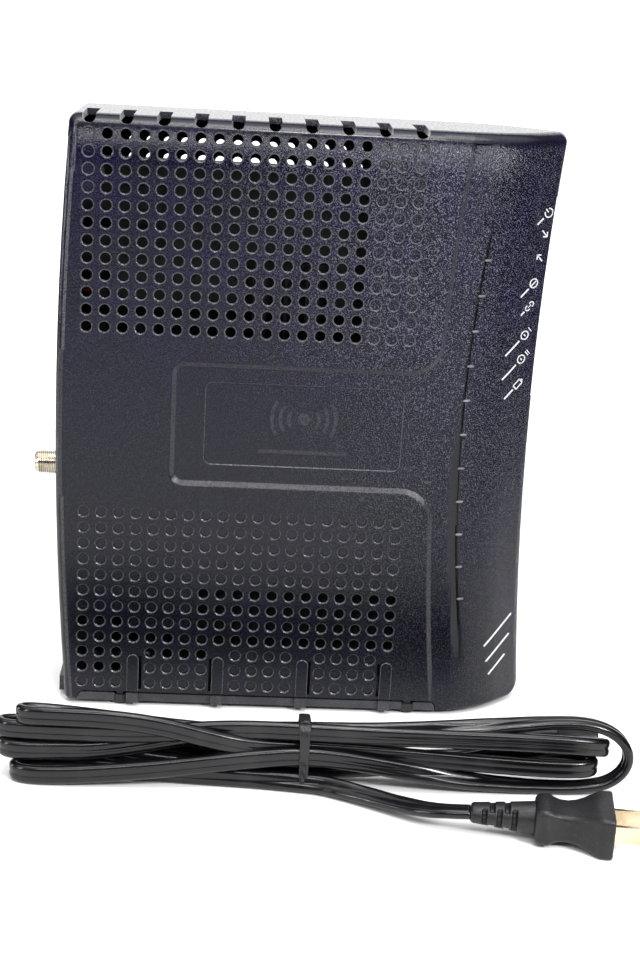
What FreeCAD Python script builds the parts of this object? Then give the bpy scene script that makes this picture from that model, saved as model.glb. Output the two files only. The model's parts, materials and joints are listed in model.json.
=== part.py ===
import FreeCAD, Part
import Sketcher
import math
import os

from FreeCAD import Placement, Rotation, Vector

# Upright cable modem with a back-up battery, its side panels full of vent holes.
# +Z is up, +X points to the narrow nose with the indicator lights, -X to the connectors.
# The origin is at the middle of the modem's footprint, on the surface it stands on.
# Millimetres throughout.

SIZES = {
    "case_top": 241.2,
    "half_thickness": 25.0,
    "rear_face": -94.1,
    "nose_face": 98.5,
    "bow_height": 124.0,
    "bow_radius": 1500.0,
    "nose_bend_radius": 45.0,
    "nose_taper_angle": 42.0,
    "nose_tip_radius": 6.5,
    "rear_edge_radius": 4.2,
    "top_edge_radius": 4.0,
    "base_edge_radius": 1.2,
    "nose_corner_radius": 7.0,
    "wall": 2.5,
    "base_height": 2.0,
    "panel_line": 6.5,
    "case_floor": 9.0,
    "split_gap": 0.05,
    "recess_depth": 1.2,
    "recess_bevel": 2.2,
    "tongue_rear": -46.3,
    "tongue_top": 145.6,
    "tongue_bottom": 99.0,
    "tongue_corner": 3.5,
    "tongue_shoulder": 14.0,
    "step_apex": 58.0,
    "step_radius": 960.0,
    "hole_columns": 19,
    "hole_rows": 12,
    "hole_pitch_along": 7.0,
    "hole_pitch_up": 6.72,
    "hole_first_column": -82.0,
    "upper_grid_top": 234.0,
    "lower_grid_top": 84.5,
    "hole_radius": 2.05,
    "hole_rim_radius": 2.65,
    "hole_rim_depth": 0.45,
    "dimple_depth": 0.9,
    "notch_radius": 2.6,
    "notch_floor": 237.6,
    "notch_inner_end": 2.5,
    "rib_width": 5.0,
    "rib_top": 23.5,
    "rib_height": 1.0,
    "rib_pitch": 35.0,
    "rib_first": -61.0,
    "slit_width": 1.1,
    "vent_apex": 67.0,
    "vent_radius": 580.0,
    "vent_middle": 122.0,
    "vent_top": 206.0,
    "vent_bottom": 40.6,
    "vent_width": 0.9,
    "vent_gap": 0.45,
    "vent_gap_top": 84.0,
    "vent_floor_depth": 0.45,
    "bridge_first": 192.6,
    "bridge_pitch": 14.06,
    "bridge_count": 11,
    "bridge_thickness": 1.0,
    "plaque_length": 79.0,
    "plaque_height": 34.0,
    "plaque_middle_along": 4.5,
    "plaque_middle_up": 122.8,
    "plaque_depth": 0.35,
    "engraving_depth": 0.3,
    "window_bottom": 134.0,
    "window_top": 216.0,
    "window_half_width": 3.0,
    "cover_rear": -83.6,
    "cover_front": 65.6,
    "cover_half_width": 24.2,
    "seam_height": 0.7,
    "seam_depth": 0.8,
    "cover_top": 6.1,
    "cover_floor": 4.2,
    "cover_gap": 0.4,
    "foot_radius": 4.75,
    "foot_height": 4.5,
    "foot_rear": -66.0,
    "foot_front": 54.0,
    "foot_side": 19.7,
    "panel_setback": 3.0,
    "panel_thickness": 2.0,
    "panel_half_width": 22.3,
    "panel_bottom": 10.2,
    "panel_top": 231.8,
    "board_side": 9.0,
    "board_thickness": 1.6,
    "board_rear": -84.0,
    "board_front": 44.0,
    "board_bottom": 84.0,
    "board_top": 222.0,
    "telephone_height": 206.0,
    "telephone_pitch": 18.0,
    "reset_height": 170.0,
    "ethernet_height": 150.0,
    "usb_height": 127.0,
    "coax_height": 97.2,
    "coax_radius": 4.76,
    "coax_end": -104.2,
    "inlet_height": 26.0,
    "inlet_pin_pitch": 8.6,
    "bay_rear": -42.0,
    "bay_front": 44.0,
    "bay_half_width": 16.0,
    "bay_top": 75.5,
    "bay_wall": 1.5,
    "battery_length": 84.0,
    "battery_width": 30.4,
    "battery_height": 65.0,
    "battery_bottom": 6.7,
    "supply_rear": -84.0,
    "supply_front": -47.0,
    "supply_bottom": 12.0,
    "supply_top": 80.0,
    "cord_width": 7.3,
    "hank_left": -109.0,
    "hank_right": 136.0,
    "hank_near": -98.5,
    "hank_far": -81.5,
    "hank_height": 31.0,
    "tie_position": 8.0,
    "plug_length": 28.0,
    "plug_width": 25.0,
    "plug_height": 16.0,
    "blade_spacing": 12.7,
    "blade_width": 6.35,
    "blade_thickness": 1.6,
    "blade_length": 16.5,
}

# Where the screws that hold the two side shells together stand: along, up.
SHELL_SCREWS = [(52.5, 226.0), (52.5, 122.0), (52.5, 22.0), (-70.0, 117.0)]
# Where the main board is screwed to the right shell: along, up.
BOARD_SCREWS = [(-81.0, 90.0), (38.0, 90.0), (-81.0, 216.0), (38.0, 216.0)]
# Where the bottom cover's snap fingers pass the case floor.
SNAP_FINGERS = [-52.0, 40.0]

# The free lead's loose stretches, point by point from the tie to the wall plug,
# and from the appliance connector to the hank.
TAIL_ROUTE = [(12.5, -96.9, 3.9), (20.1, -99.8, 3.9), (31.7, -105.7, 4.2), (42.7, -112.6, 5.2),
              (52.6, -119.3, 6.6), (60.1, -122.2, 7.5), (68.0, -123.3, 8.0)]
LEAD_IN_ROUTE = [(67.0, -67.5, 10.6), (54.0, -68.3, 10.5), (41.5, -71.2, 10.2), (30.0, -75.5, 10.6),
                 (19.5, -80.3, 12.3)]
# Which way the wall plug and the appliance connector point.
PLUG_DIRECTION = (1.0, -0.14, 0.0)
CONNECTOR_DIRECTION = (1.0, -0.06, -0.02)

doc = FreeCAD.newDocument("cable_modem")
sheet = doc.addObject("Spreadsheet::Sheet", "Sizes")
for row, (alias, value) in enumerate(SIZES.items(), start=1):
    sheet.set(f"A{row}", alias)
    sheet.set(f"B{row}", str(value))
    sheet.setAlias(f"B{row}", alias)
doc.recompute()

NODES = []


def size(alias):
    """A driving dimension, read from the sheet."""
    return float(getattr(sheet, alias))


def node(obj, name):
    """Names an object as one of the modem's sub-parts."""
    obj.Label = name
    NODES.append(obj)
    return obj


def bind(obj, **expressions):
    """Binds properties to expressions on the sheet; plain numbers are allowed."""
    for prop, expression in expressions.items():
        obj.setExpression(prop, str(expression))


def place(obj, along, across, up):
    """Binds an object's position."""
    for axis, expression in zip("xyz", (along, across, up)):
        obj.setExpression(f".Placement.Base.{axis}", str(expression))


def box(name, length, width, height, at):
    """A Part box with bound sides and its lowest corner bound to the position at."""
    obj = doc.addObject("Part::Box", name)
    bind(obj, Length=length, Width=width, Height=height)
    place(obj, *at)
    return obj


def rod(name, radius, length, at, axis):
    """A Part cylinder along +X, +Y or +Z from the position at."""
    obj = doc.addObject("Part::Cylinder", name)
    turns = {"x": Rotation(Vector(0, 1, 0), 90), "y": Rotation(Vector(1, 0, 0), -90), "z": Rotation()}
    obj.Placement = Placement(Vector(), turns[axis])
    bind(obj, Radius=radius, Height=length)
    place(obj, *at)
    return obj


def cut(name, base, tool):
    obj = doc.addObject("Part::Cut", name)
    obj.Base = base
    obj.Tool = tool
    return obj


def join(name, pieces):
    obj = doc.addObject("Part::MultiFuse", name)
    obj.Shapes = pieces
    return obj


def group(name, pieces):
    """Identical pieces kept as separate solids of one sub-part."""
    obj = doc.addObject("Part::Compound", name)
    obj.Links = pieces
    return obj


def feature(name, shape, placement=Placement()):
    """A sub-part whose shape is made by code from the sheet's sizes."""
    obj = doc.addObject("Part::Feature", name)
    obj.Shape = shape
    obj.Placement = placement
    return node(obj, name)


def block(low, high):
    """A plain box shape between two corners."""
    return Part.makeBox(high[0] - low[0], high[1] - low[1], high[2] - low[2], Vector(*low))


def rounded_block(low, high, radius, direction):
    """A box shape with its four edges along one direction rounded."""
    shape = block(low, high)
    edges = [e for e in shape.Edges if abs(abs(e.tangentAt(e.FirstParameter).dot(direction)) - 1) < 1e-6]
    return shape.makeFillet(radius, edges)


def cylinder(radius, start, direction, length):
    return Part.makeCylinder(radius, length, Vector(*start), Vector(*direction))


ALONG = Vector(1, 0, 0)
ACROSS = Vector(0, 1, 0)
UP = Vector(0, 0, 1)

# ------------------------------------------------------------------ the case


def plan_face(inset):
    """The case's outline seen from above at the middle of its bow, inset by a wall."""
    half = size("half_thickness") - inset
    rear = size("rear_face") + inset
    corner = max(size("rear_edge_radius") - inset, 0.0)
    angle = math.radians(size("nose_taper_angle"))
    tip_centre = size("nose_face") - size("nose_tip_radius")
    tip = size("nose_tip_radius") - inset
    bend = size("nose_bend_radius") - inset
    outer_bend = size("nose_bend_radius")
    outer_tip = size("nose_tip_radius")
    bend_y = size("half_thickness") - outer_bend
    flank = (bend_y + outer_bend * math.cos(angle) - outer_tip * math.cos(angle)) / math.sin(angle)
    bend_x = tip_centre - flank * math.cos(angle) + (outer_tip - outer_bend) * math.sin(angle)

    def on_bend(turn, side):
        return Vector(bend_x + bend * math.sin(turn), side * (bend_y + bend * math.cos(turn)), 0)

    def on_tip(turn, side):
        return Vector(tip_centre + tip * math.sin(turn), side * tip * math.cos(turn), 0)

    edges = [
        Part.LineSegment(Vector(rear + corner, -half, 0), on_bend(0, -1)).toShape(),
        Part.Arc(on_bend(0, -1), on_bend(angle / 2, -1), on_bend(angle, -1)).toShape(),
        Part.LineSegment(on_bend(angle, -1), on_tip(angle, -1)).toShape(),
        Part.Arc(on_tip(angle, -1), on_tip(math.pi / 2, 1), on_tip(angle, 1)).toShape(),
        Part.LineSegment(on_tip(angle, 1), on_bend(angle, 1)).toShape(),
        Part.Arc(on_bend(angle, 1), on_bend(angle / 2, 1), on_bend(0, 1)).toShape(),
        Part.LineSegment(on_bend(0, 1), Vector(rear + corner, half, 0)).toShape(),
    ]
    if corner > 0:
        middle = corner * (1 - math.sqrt(0.5))
        edges.append(Part.Arc(Vector(rear + corner, half, 0), Vector(rear + middle, half - middle, 0),
                              Vector(rear, half - corner, 0)).toShape())
        edges.append(Part.LineSegment(Vector(rear, half - corner, 0),
                                      Vector(rear, corner - half, 0)).toShape())
        edges.append(Part.Arc(Vector(rear, corner - half, 0), Vector(rear + middle, middle - half, 0),
                              Vector(rear + corner, -half, 0)).toShape())
    else:
        edges.append(Part.LineSegment(Vector(rear, half, 0), Vector(rear, -half, 0)).toShape())
    face = Part.Face(Part.Wire(edges))
    face.translate(Vector(0, 0, size("bow_height")))
    return face


def bowed(inset, bottom, top):
    """The bowed body of the case, inset by a wall, between two heights."""
    sweep = 13.0
    centre = Vector(size("rear_face") + size("bow_radius"), 0, size("bow_height"))
    face = plan_face(inset)
    face.rotate(centre, ACROSS, -sweep / 2)
    body = face.revolve(centre, ACROSS, sweep)
    reach = 150.0
    return body.common(block((-reach, -reach, bottom), (reach, reach, top)))


def nose_line(height):
    """Where the tip of the nose stands at a height."""
    radius = size("bow_radius") - (size("nose_face") - size("rear_face"))
    rise = height - size("bow_height")
    return size("rear_face") + size("bow_radius") - math.sqrt(radius * radius - rise * rise)


def nose_corner_tool():
    """Rounds the lower corner of the nose: the part of a square outside a circle."""
    radius = size("nose_corner_radius")
    up = size("base_height") + radius
    along = nose_line(up) - radius - 0.1
    reach = radius + 4.0
    corner = block((along, -60, up - reach), (along + reach, 60, up))
    return corner.cut(cylinder(radius, (along, -60, up), ACROSS, 120))


def rim_at(body, height):
    """The edges of a body's outline at a height."""
    return [e for e in body.Edges if all(abs(v.Z - height) < 1e-4 for v in e.Vertexes)]


def outer_body():
    """The closed outer body, with its top and bottom edges and its nose corner rounded."""
    top = size("case_top")
    base = size("base_height")
    body = bowed(0.0, base, top)
    body = body.makeFillet(size("base_edge_radius"), rim_at(body, base))
    body = body.makeFillet(size("top_edge_radius"), rim_at(body, top))
    return body.cut(nose_corner_tool())


def step_point(height, grow=0.0):
    """A point of the curved step beside the nose, at a height, moved back by grow."""
    radius = size("step_radius")
    rise = height - size("vent_middle")
    return size("step_apex") + radius - grow - math.sqrt(radius * radius - rise * rise)


def recess_wire(across, grow):
    """Outline of the sunk nose band and of the tongue that runs back from it."""
    top = size("case_top") + 20.0
    bottom = -20.0
    reach = 140.0
    rear = size("tongue_rear") - grow
    upper = size("tongue_top") + grow
    lower = size("tongue_bottom") - grow
    corner = size("tongue_corner") + grow
    shoulder = size("tongue_shoulder")
    round_off = shoulder - grow
    turn_at = size("step_apex") + 0.8 - shoulder
    diagonal = math.sqrt(0.5)
    inner = corner * (1 - diagonal)
    high_end = size("tongue_top") + shoulder
    low_end = size("tongue_bottom") - shoulder
    bulge = round_off * diagonal

    def line(a, b):
        return Part.LineSegment(Vector(a[0], across, a[1]), Vector(b[0], across, b[1])).toShape()

    def arc(a, b, c):
        points = [Vector(p[0], across, p[1]) for p in (a, b, c)]
        return Part.Arc(*points).toShape()

    def step(a, b):
        middle = (a + b) / 2
        return arc((step_point(a, grow), a), (step_point(middle, grow), middle), (step_point(b, grow), b))

    return Part.Wire([
        step(top, high_end),
        arc((step_point(high_end, grow), high_end), (turn_at + bulge, high_end - bulge), (turn_at, upper)),
        line((turn_at, upper), (rear + corner, upper)),
        arc((rear + corner, upper), (rear + inner, upper - inner), (rear, upper - corner)),
        line((rear, upper - corner), (rear, lower + corner)),
        arc((rear, lower + corner), (rear + inner, lower + inner), (rear + corner, lower)),
        line((rear + corner, lower), (turn_at, lower)),
        arc((turn_at, lower), (turn_at + bulge, low_end + bulge), (step_point(low_end, grow), low_end)),
        step(low_end, bottom),
        line((step_point(bottom, grow), bottom), (reach, bottom)),
        line((reach, bottom), (reach, top)),
        line((reach, top), (step_point(top, grow), top)),
    ])


def recess_tool():
    """Cuts the sunk band and tongue into the left side, with sloping walls."""
    half = size("half_thickness")
    overshoot = 0.2
    slope = size("recess_bevel") / size("recess_depth")
    inner = recess_wire(size("recess_depth") - half, 0.0)
    outer = recess_wire(-half - overshoot, size("recess_bevel") + overshoot * slope)
    return Part.makeLoft([inner, outer], True, True)


def vent_holes():
    """Tools for the two grids of round vents: open ones go through, blind ones are dimples."""
    tools = []
    half = size("half_thickness")
    for lower in (False, True):
        top = size("lower_grid_top") if lower else size("upper_grid_top")
        for column in range(int(size("hole_columns"))):
            for row in range(int(size("hole_rows"))):
                if lower and is_rib_column(column) and row >= 9:
                    continue
                opened = lower_is_open(column, row) if lower else upper_is_open(column, row)
                along = size("hole_first_column") + column * size("hole_pitch_along")
                up = top - row * size("hole_pitch_up")
                depth = size("wall") + 1.0 if opened else size("dimple_depth")
                tools.append(hole_tool(along, up, half, depth))
    return tools


def hole_tool(along, up, half, depth):
    """One vent: a round hole with a small conical rim, as a turned solid."""
    radius = size("hole_radius")
    rim = size("hole_rim_radius")
    rim_depth = size("hole_rim_depth")
    overshoot = 0.2
    flare = (rim - radius) * overshoot / rim_depth
    outline = Part.makePolygon([
        Vector(0, -half - overshoot, 0), Vector(rim + flare, -half - overshoot, 0),
        Vector(radius, rim_depth - half, 0), Vector(radius, depth - half, 0),
        Vector(0, depth - half, 0), Vector(0, -half - overshoot, 0)])
    tool = Part.Face(outline).revolve(Vector(), ACROSS, 360)
    tool.translate(Vector(along, 0, up))
    return tool


def is_rib_column(column):
    return column in (3, 8, 13, 18)


def upper_is_open(column, row):
    return column < 16 and not (column == 0 and row < 4)


def lower_is_open(column, row):
    if column >= 7 and 5 <= row <= 8:
        return True
    if column <= 2 and 7 <= row <= 10:
        return True
    return row in (8, 9) and 3 <= column <= 7


def top_notches():
    """Tools for the open slots along the top edge, one at every second column."""
    tools = []
    half = size("half_thickness")
    radius = size("notch_radius")
    centre = size("notch_floor") + radius
    inner = -size("notch_inner_end")
    for index in range(10):
        along = size("hole_first_column") + 2 * index * size("hole_pitch_along")
        slot = block((along - radius, -half - 1, centre), (along + radius, inner, size("case_top") + 1))
        tools.append(slot.fuse(cylinder(radius, (along, -half - 1, centre), ACROSS, half + 1 + inner)))
    return tools


def vent_ring(width):
    """A thin cylindrical band across the case, from the left edge of the nose's vent line."""
    radius = size("vent_radius")
    half = size("half_thickness")
    start = (size("vent_apex") + radius, -half - 2, size("vent_middle"))
    depth = half - 8.0
    return cylinder(radius, start, ACROSS, depth).cut(cylinder(radius - width, start, ACROSS, depth))


def bridge_blocks():
    """Blocks that fill the places where the small bridges stand across the vent line."""
    half = size("bridge_thickness") / 2
    blocks = []
    for index in range(int(size("bridge_count"))):
        up = size("bridge_first") - index * size("bridge_pitch")
        blocks.append(block((50, -60, up - half), (90, 0, up + half)))
    return blocks


def vent_line():
    """The nose's vent line: a shallow groove that opens into a narrow gap in its lower third."""
    bottom = size("vent_bottom")
    top = size("vent_top")
    core = bowed(size("vent_floor_depth"), bottom - 5, top + 5)
    groove = vent_ring(size("vent_width")).cut(core).common(block((50, -60, bottom), (90, 0, top)))
    gap = vent_ring(size("vent_gap")).common(block((50, -60, bottom), (90, 0, size("vent_gap_top"))))
    return groove.fuse(gap).cut(bridge_blocks())


def ribs():
    """The four raised ribs at the foot of the left panel."""
    shapes = []
    half = size("half_thickness")
    radius = size("rib_width") / 2
    top = size("rib_top") - radius
    for index in range(4):
        along = size("rib_first") + index * size("rib_pitch")
        front = -half - size("rib_height")
        rib = block((along - radius, front, size("panel_line") + 0.4), (along + radius, 1 - half, top))
        rib = rib.fuse(cylinder(radius, (along, front, top), ACROSS, size("rib_height") + 1)).removeSplitter()
        edges = [e for e in rib.Edges if all(abs(v.Y - front) < 1e-4 for v in e.Vertexes)]
        shapes.append(rib.makeFillet(0.6, edges))
    return shapes


def rib_slits():
    """Tools for the narrow slit beside each rib, in mirrored pairs."""
    tools = []
    half = size("half_thickness")
    for index in range(4):
        along = size("rib_first") + index * size("rib_pitch")
        side = 1 if index % 2 == 0 else -1
        near = along + side * (size("rib_width") / 2 + 0.05)
        far = near + side * size("slit_width")
        tools.append(block((min(near, far), -half - 1, size("panel_line") + 1.2),
                           (max(near, far), 4.0 - half, size("rib_top") - 1.0)))
    return tools


def plaque_tools():
    """The sunk plaque with sloping edges, and a plain mark in it: a dot that sends out waves, on a bar."""
    outer_surface = size("recess_depth") - size("half_thickness")
    surface = outer_surface + size("plaque_depth")
    depth = size("engraving_depth")
    length = size("plaque_length")
    height = size("plaque_height")
    along = size("plaque_middle_along")
    up = size("plaque_middle_up")
    outside = outer_surface - 0.5
    low = (along - length / 2, outside, up - height / 2)
    panel = rounded_block(low, (along + length / 2, surface, up + height / 2), 3.0, ACROSS)
    floor_edges = [e for e in panel.Edges if all(abs(v.Y - surface) < 1e-4 for v in e.Vertexes)]
    tools = [panel.makeChamfer(size("plaque_depth") - 0.01, floor_edges)]
    mark_up = up + 3.0
    start = (along, outside, mark_up)
    reach = surface + depth - outside
    tools.append(cylinder(2.6, start, ACROSS, reach))
    for radius in (6.0, 9.4, 12.8):
        ring = cylinder(radius + 0.8, start, ACROSS, reach)
        ring = ring.cut(cylinder(radius - 0.8, start, ACROSS, reach))
        for side in (-1, 1):
            wedge = Part.Face(Part.makePolygon([
                Vector(along, outside, mark_up), Vector(along + side * 20, outside, mark_up + 13),
                Vector(along + side * 20, outside, mark_up - 13), Vector(along, outside, mark_up)]))
            tools.append(ring.common(wedge.extrude(Vector(0, reach, 0))))
    tools.append(rounded_block((along - 18, outside, up - 11.6), (along + 18, surface + depth, up - 9.8),
                               0.8, ACROSS))
    return tools


def cover_bay():
    """Tool for the space under the case that the bottom cover fills."""
    gap = size("cover_gap")
    low = (size("cover_rear") - gap, -40, -10)
    high = (size("cover_front") + gap, 40, size("panel_line"))
    bay = rounded_block(low, high, 3.8, ACROSS)
    rear = block((-120, -16, -10), (size("cover_rear") + 5, 16, size("panel_line")))
    return bay.fuse(rear)


def floor_openings():
    """Tools through the case floor: the battery's mouth and the snap fingers' slots."""
    gap = 1.0
    half = size("bay_half_width")
    bottom = size("panel_line") - 1
    top = size("case_floor") + 1
    tools = [block((size("bay_rear") - gap, -half - gap, bottom), (size("bay_front") + gap, half + gap, top))]
    for along in SNAP_FINGERS:
        tools.append(block((along - 3.6, -21.2, bottom), (along + 3.6, -18.8, top)))
    return tools


def bare_half():
    """The left half of the case: hollow, open at the rear and under the floor."""
    top_rounding = block((-150, -60, size("case_top") - size("top_edge_radius")), (150, 60, 300))
    body = outer_body().cut(recess_tool().cut(top_rounding))
    half = body.common(block((-150, -60, -10), (150, -size("split_gap"), 300)))
    cavity = bowed(size("wall"), size("case_floor"), size("case_top") - size("wall"))
    rear_window = block((-120, -size("half_thickness") + size("wall"), size("panel_bottom") - 0.2),
                        (-86.0, 5, size("panel_top") + 0.2))
    lens_window = block((86.0, -size("window_half_width"), size("window_bottom")),
                        (120, 5, size("window_top")))
    half = half.fuse(ribs())
    return half.cut([cavity, rear_window, lens_window, cover_bay()] + floor_openings())


def vented_half():
    """The left half with its vents and engraving, before the top notches."""
    tools = [vent_line()] + rib_slits() + plaque_tools()
    shape = bare_half().cut(tools)
    return shape.cut(Part.makeCompound(vent_holes()))


def foot_posts(side):
    """Short posts under the case floor that the feet sit on."""
    posts = []
    for along in (size("foot_rear"), size("foot_front")):
        start = (along, side * size("foot_side"), size("foot_height"))
        posts.append(cylinder(4.0, start, UP, size("case_floor") - size("foot_height") - 1))
    return posts


def shell_left(half):
    """Left side shell: top notches, and blind bosses that the housing screws bite into."""
    bosses = []
    bores = []
    inner = size("wall") - size("half_thickness")
    for along, up in SHELL_SCREWS:
        bosses.append(cylinder(3.5, (along, inner - 0.6, up), ACROSS, -inner + 0.6 - size("split_gap")))
        bores.append(cylinder(1.5, (along, inner + 3, up), ACROSS, -inner))
    return half.fuse(bosses + foot_posts(-1)).cut(bores + top_notches())


def shell_right(half):
    """Right side shell: mirrored, with through bosses and the board's standoffs."""
    shape = half.mirror(Vector(), ACROSS)
    outer = size("half_thickness")
    inner = outer - size("wall")
    board_back = size("board_side") + size("board_thickness")
    additions = foot_posts(1) + [block((-88, inner - 0.1, 231.2), (52, inner + 0.8, 237.0))]
    bores = []
    for along, up in SHELL_SCREWS:
        additions.append(cylinder(4.6, (along, size("split_gap"), up), ACROSS, inner + 0.6))
        bores.append(cylinder(1.7, (along, -1, up), ACROSS, outer + 2))
        bores.append(cylinder(3.2, (along, outer - 6.0, up), ACROSS, 8.0))
    for along, up in BOARD_SCREWS:
        additions.append(cylinder(3.5, (along, board_back, up), ACROSS, inner - board_back + 0.6))
        bores.append(cylinder(1.3, (along, board_back - 1, up), ACROSS, 9.0))
    return shape.fuse(additions).cut(bores)


def make_shells():
    half = vented_half()
    feature("side_shell_left", shell_left(half))
    feature("side_shell_right", shell_right(half))


def make_rear_panel():
    """Bowed connector panel, set back from the case's rear edge."""
    half = size("panel_half_width")
    radius = size("bow_radius") - size("panel_setback")
    start = (size("rear_face") + size("bow_radius"), -half, size("bow_height"))
    sheet_ring = cylinder(radius, start, ACROSS, 2 * half)
    sheet_ring = sheet_ring.cut(cylinder(radius - size("panel_thickness"), start, ACROSS, 2 * half))
    panel = sheet_ring.common(block((-120, -half, size("panel_bottom")), (-60, half, size("panel_top"))))
    feature("rear_panel", panel.cut(panel_openings()))


def panel_openings():
    gap = 0.2
    tools = []
    for _, low, high in JACK_BODIES:
        tools.append(block((-120, low[1] - gap, low[2] - gap), (-60, high[1] + gap, high[2] + gap)))
    tools.append(cylinder(size("coax_radius") - 0.25, (-120, 0, size("coax_height")), ALONG, 60))
    tools.append(cylinder(1.9, (-120, 0, size("reset_height")), ALONG, 60))
    return tools


def make_indicator_window():
    """Smoked strip at the tip of the nose, with the light guide behind it."""
    gap = 0.1
    half = size("window_half_width") - gap
    bottom = size("window_bottom") + gap
    top = size("window_top") - gap
    layer = bowed(0.3, bottom, top).cut(bowed(size("wall") - 0.1, bottom - 1, top + 1))
    feature("indicator_window", layer.common(block((88, -half, bottom), (120, half, top))))
    guide = box("light_guide", 13.5, 4.0, "Sizes.window_top - Sizes.window_bottom - 3",
                (82.0, -2.0, "Sizes.window_bottom + 1.5"))
    node(guide, "light_guide")
    board = box("indicator_board", 1.6, 15.0, 92.0, (77.5, -7.5, 129.0))
    node(board, "indicator_board")
    lamps = [box(f"lamp_{index}", 1.8, 2.4, 3.0, (79.1, -1.2, height - 1.5))
             for index, height in enumerate(LAMP_HEIGHTS)]
    node(group("indicator_lamps", lamps), "indicator_lamps")
    ribbon = box("indicator_ribbon", 32.5, 0.4, 12.0, (44.5, 6.6, 168.0))
    node(ribbon, "indicator_ribbon")


LAMP_HEIGHTS = [208.0, 199.0, 190.0, 180.5, 171.0, 157.5, 148.0, 139.5]

# ------------------------------------------------------------------ feet and bottom cover


def make_feet():
    """Rubber feet: short domes with a small flat to stand on."""
    radius = size("foot_radius")
    height = size("foot_height")
    flat = 2.6
    outline = Part.Wire([
        Part.LineSegment(Vector(0, 0, 0), Vector(flat, 0, 0)).toShape(),
        Part.Arc(Vector(flat, 0, 0), Vector(3.95, 0, 0.55), Vector(radius, 0, 1.9)).toShape(),
        Part.LineSegment(Vector(radius, 0, 1.9), Vector(radius, 0, height)).toShape(),
        Part.LineSegment(Vector(radius, 0, height), Vector(0, 0, height)).toShape(),
        Part.LineSegment(Vector(0, 0, height), Vector(0, 0, 0)).toShape(),
    ])
    dome = Part.Face(outline).revolve(Vector(), UP, 360)
    for end, along in (("rear", size("foot_rear")), ("front", size("foot_front"))):
        for name, side in (("left", -1), ("right", 1)):
            foot = doc.addObject("Part::Feature", f"foot_{end}_{name}")
            foot.Shape = dome
            foot.Placement = Placement(Vector(along, side * size("foot_side"), 0), Rotation())
            node(foot, f"foot_{end}_{name}")


def make_bottom_cover():
    """Lift-off cover under the battery: a shallow tray with caps, snap fingers and a rear lip."""
    rear = size("cover_rear")
    front = size("cover_front")
    half = size("cover_half_width")
    base = size("base_height")
    top = size("cover_top")
    tray = rounded_block((rear, -half, base - 10), (front, half, top), 3.5, ACROSS)
    tray = tray.common(block((-150, -60, base), (150, 60, 20)))
    tray = tray.fuse(block((-92.0, -15.5, base), (rear + 1, 15.5, top)))
    hollow = block((rear + 3, -20.8, size("cover_floor")), (front - 3, 20.8, top + 1))
    tray = tray.cut(hollow)
    seam_low = top - size("seam_height")
    inside = half - size("seam_depth")
    for side in (-1, 1):
        near = min(side * inside, side * (half + 1))
        far = max(side * inside, side * (half + 1))
        tray = tray.cut(block((rear - 1, near, seam_low), (front + 1, far, top + 1)))
    additions = [block((-92.0, -15.5, base), (-90.0, 15.5, 8.5))]
    cap_reach = size("half_thickness") + size("rib_height")
    half_cap = size("rib_width") / 2
    for index in range(4):
        along = size("rib_first") + index * size("rib_pitch")
        for side in (-1, 1):
            near = side * (half - 1.5)
            far = side * cap_reach
            additions.append(block((along - half_cap, min(near, far), base),
                                   (along + half_cap, max(near, far), top)))
            tip = Vector(along, side * (cap_reach - 1.2), base - 1.0)
            additions.append(Part.makeCone(0.3, 0.9, 1.0, tip))
    for along in SNAP_FINGERS:
        for side in (-1, 1):
            near = side * 19.2
            far = side * 20.8
            additions.append(block((along - 3.0, min(near, far), base + 1),
                                   (along + 3.0, max(near, far), 15.0)))
    shape = tray.fuse(additions)
    for along in (size("foot_rear"), size("foot_front")):
        for side in (-1, 1):
            shape = shape.cut(cylinder(size("foot_radius") + 0.35, (along, side * size("foot_side"), -1), UP, 10))
    feature("bottom_cover", shape)


# ------------------------------------------------------------------ battery


def make_battery():
    """Battery pack, its bay in the case and the contacts at the bay's end."""
    outer = box("bay_outer", "Sizes.bay_front - Sizes.bay_rear + 2 * Sizes.bay_wall",
                "2 * Sizes.bay_half_width + 2 * Sizes.bay_wall",
                "Sizes.bay_top + Sizes.bay_wall - Sizes.case_floor - 0.1",
                ("Sizes.bay_rear - Sizes.bay_wall", "-Sizes.bay_half_width - Sizes.bay_wall",
                 "Sizes.case_floor + 0.1"))
    inner = box("bay_inner", "Sizes.bay_front - Sizes.bay_rear", "2 * Sizes.bay_half_width",
                "Sizes.bay_top", ("Sizes.bay_rear", "-Sizes.bay_half_width", "0"))
    node(cut("battery_bay", outer, inner), "battery_bay")
    body = doc.addObject("PartDesign::Body", "battery_pack")
    profile = sketch_on(body, "pack_outline", "XY_Plane")
    rectangle(profile, "Sizes.battery_length", "Sizes.battery_width")
    profile.setExpression(".AttachmentOffset.Base.x", "(Sizes.bay_front + Sizes.bay_rear) / 2")
    profile.setExpression(".AttachmentOffset.Base.z", "Sizes.battery_bottom")
    pad = body.newObject("PartDesign::Pad", "pack_block")
    pad.Profile = profile
    pad.setExpression("Length", "Sizes.battery_height")
    doc.recompute()
    rounding = body.newObject("PartDesign::Fillet", "pack_rounding")
    upright = [f"Edge{i}" for i, e in enumerate(pad.Shape.Edges, 1)
               if abs(abs(e.tangentAt(e.FirstParameter).z) - 1) < 1e-6]
    rounding.Base = (pad, upright)
    rounding.Radius = 2.5
    body.Tip = rounding
    node(body, "battery_pack")
    top = "Sizes.battery_bottom + Sizes.battery_height + 0.3"
    blades = [box(f"contact_{index}", 3.0, 8.0, 3.3, (-20.0 + 16.0 * index, -4.0, top)) for index in range(3)]
    node(group("battery_contacts", blades), "battery_contacts")


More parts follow.
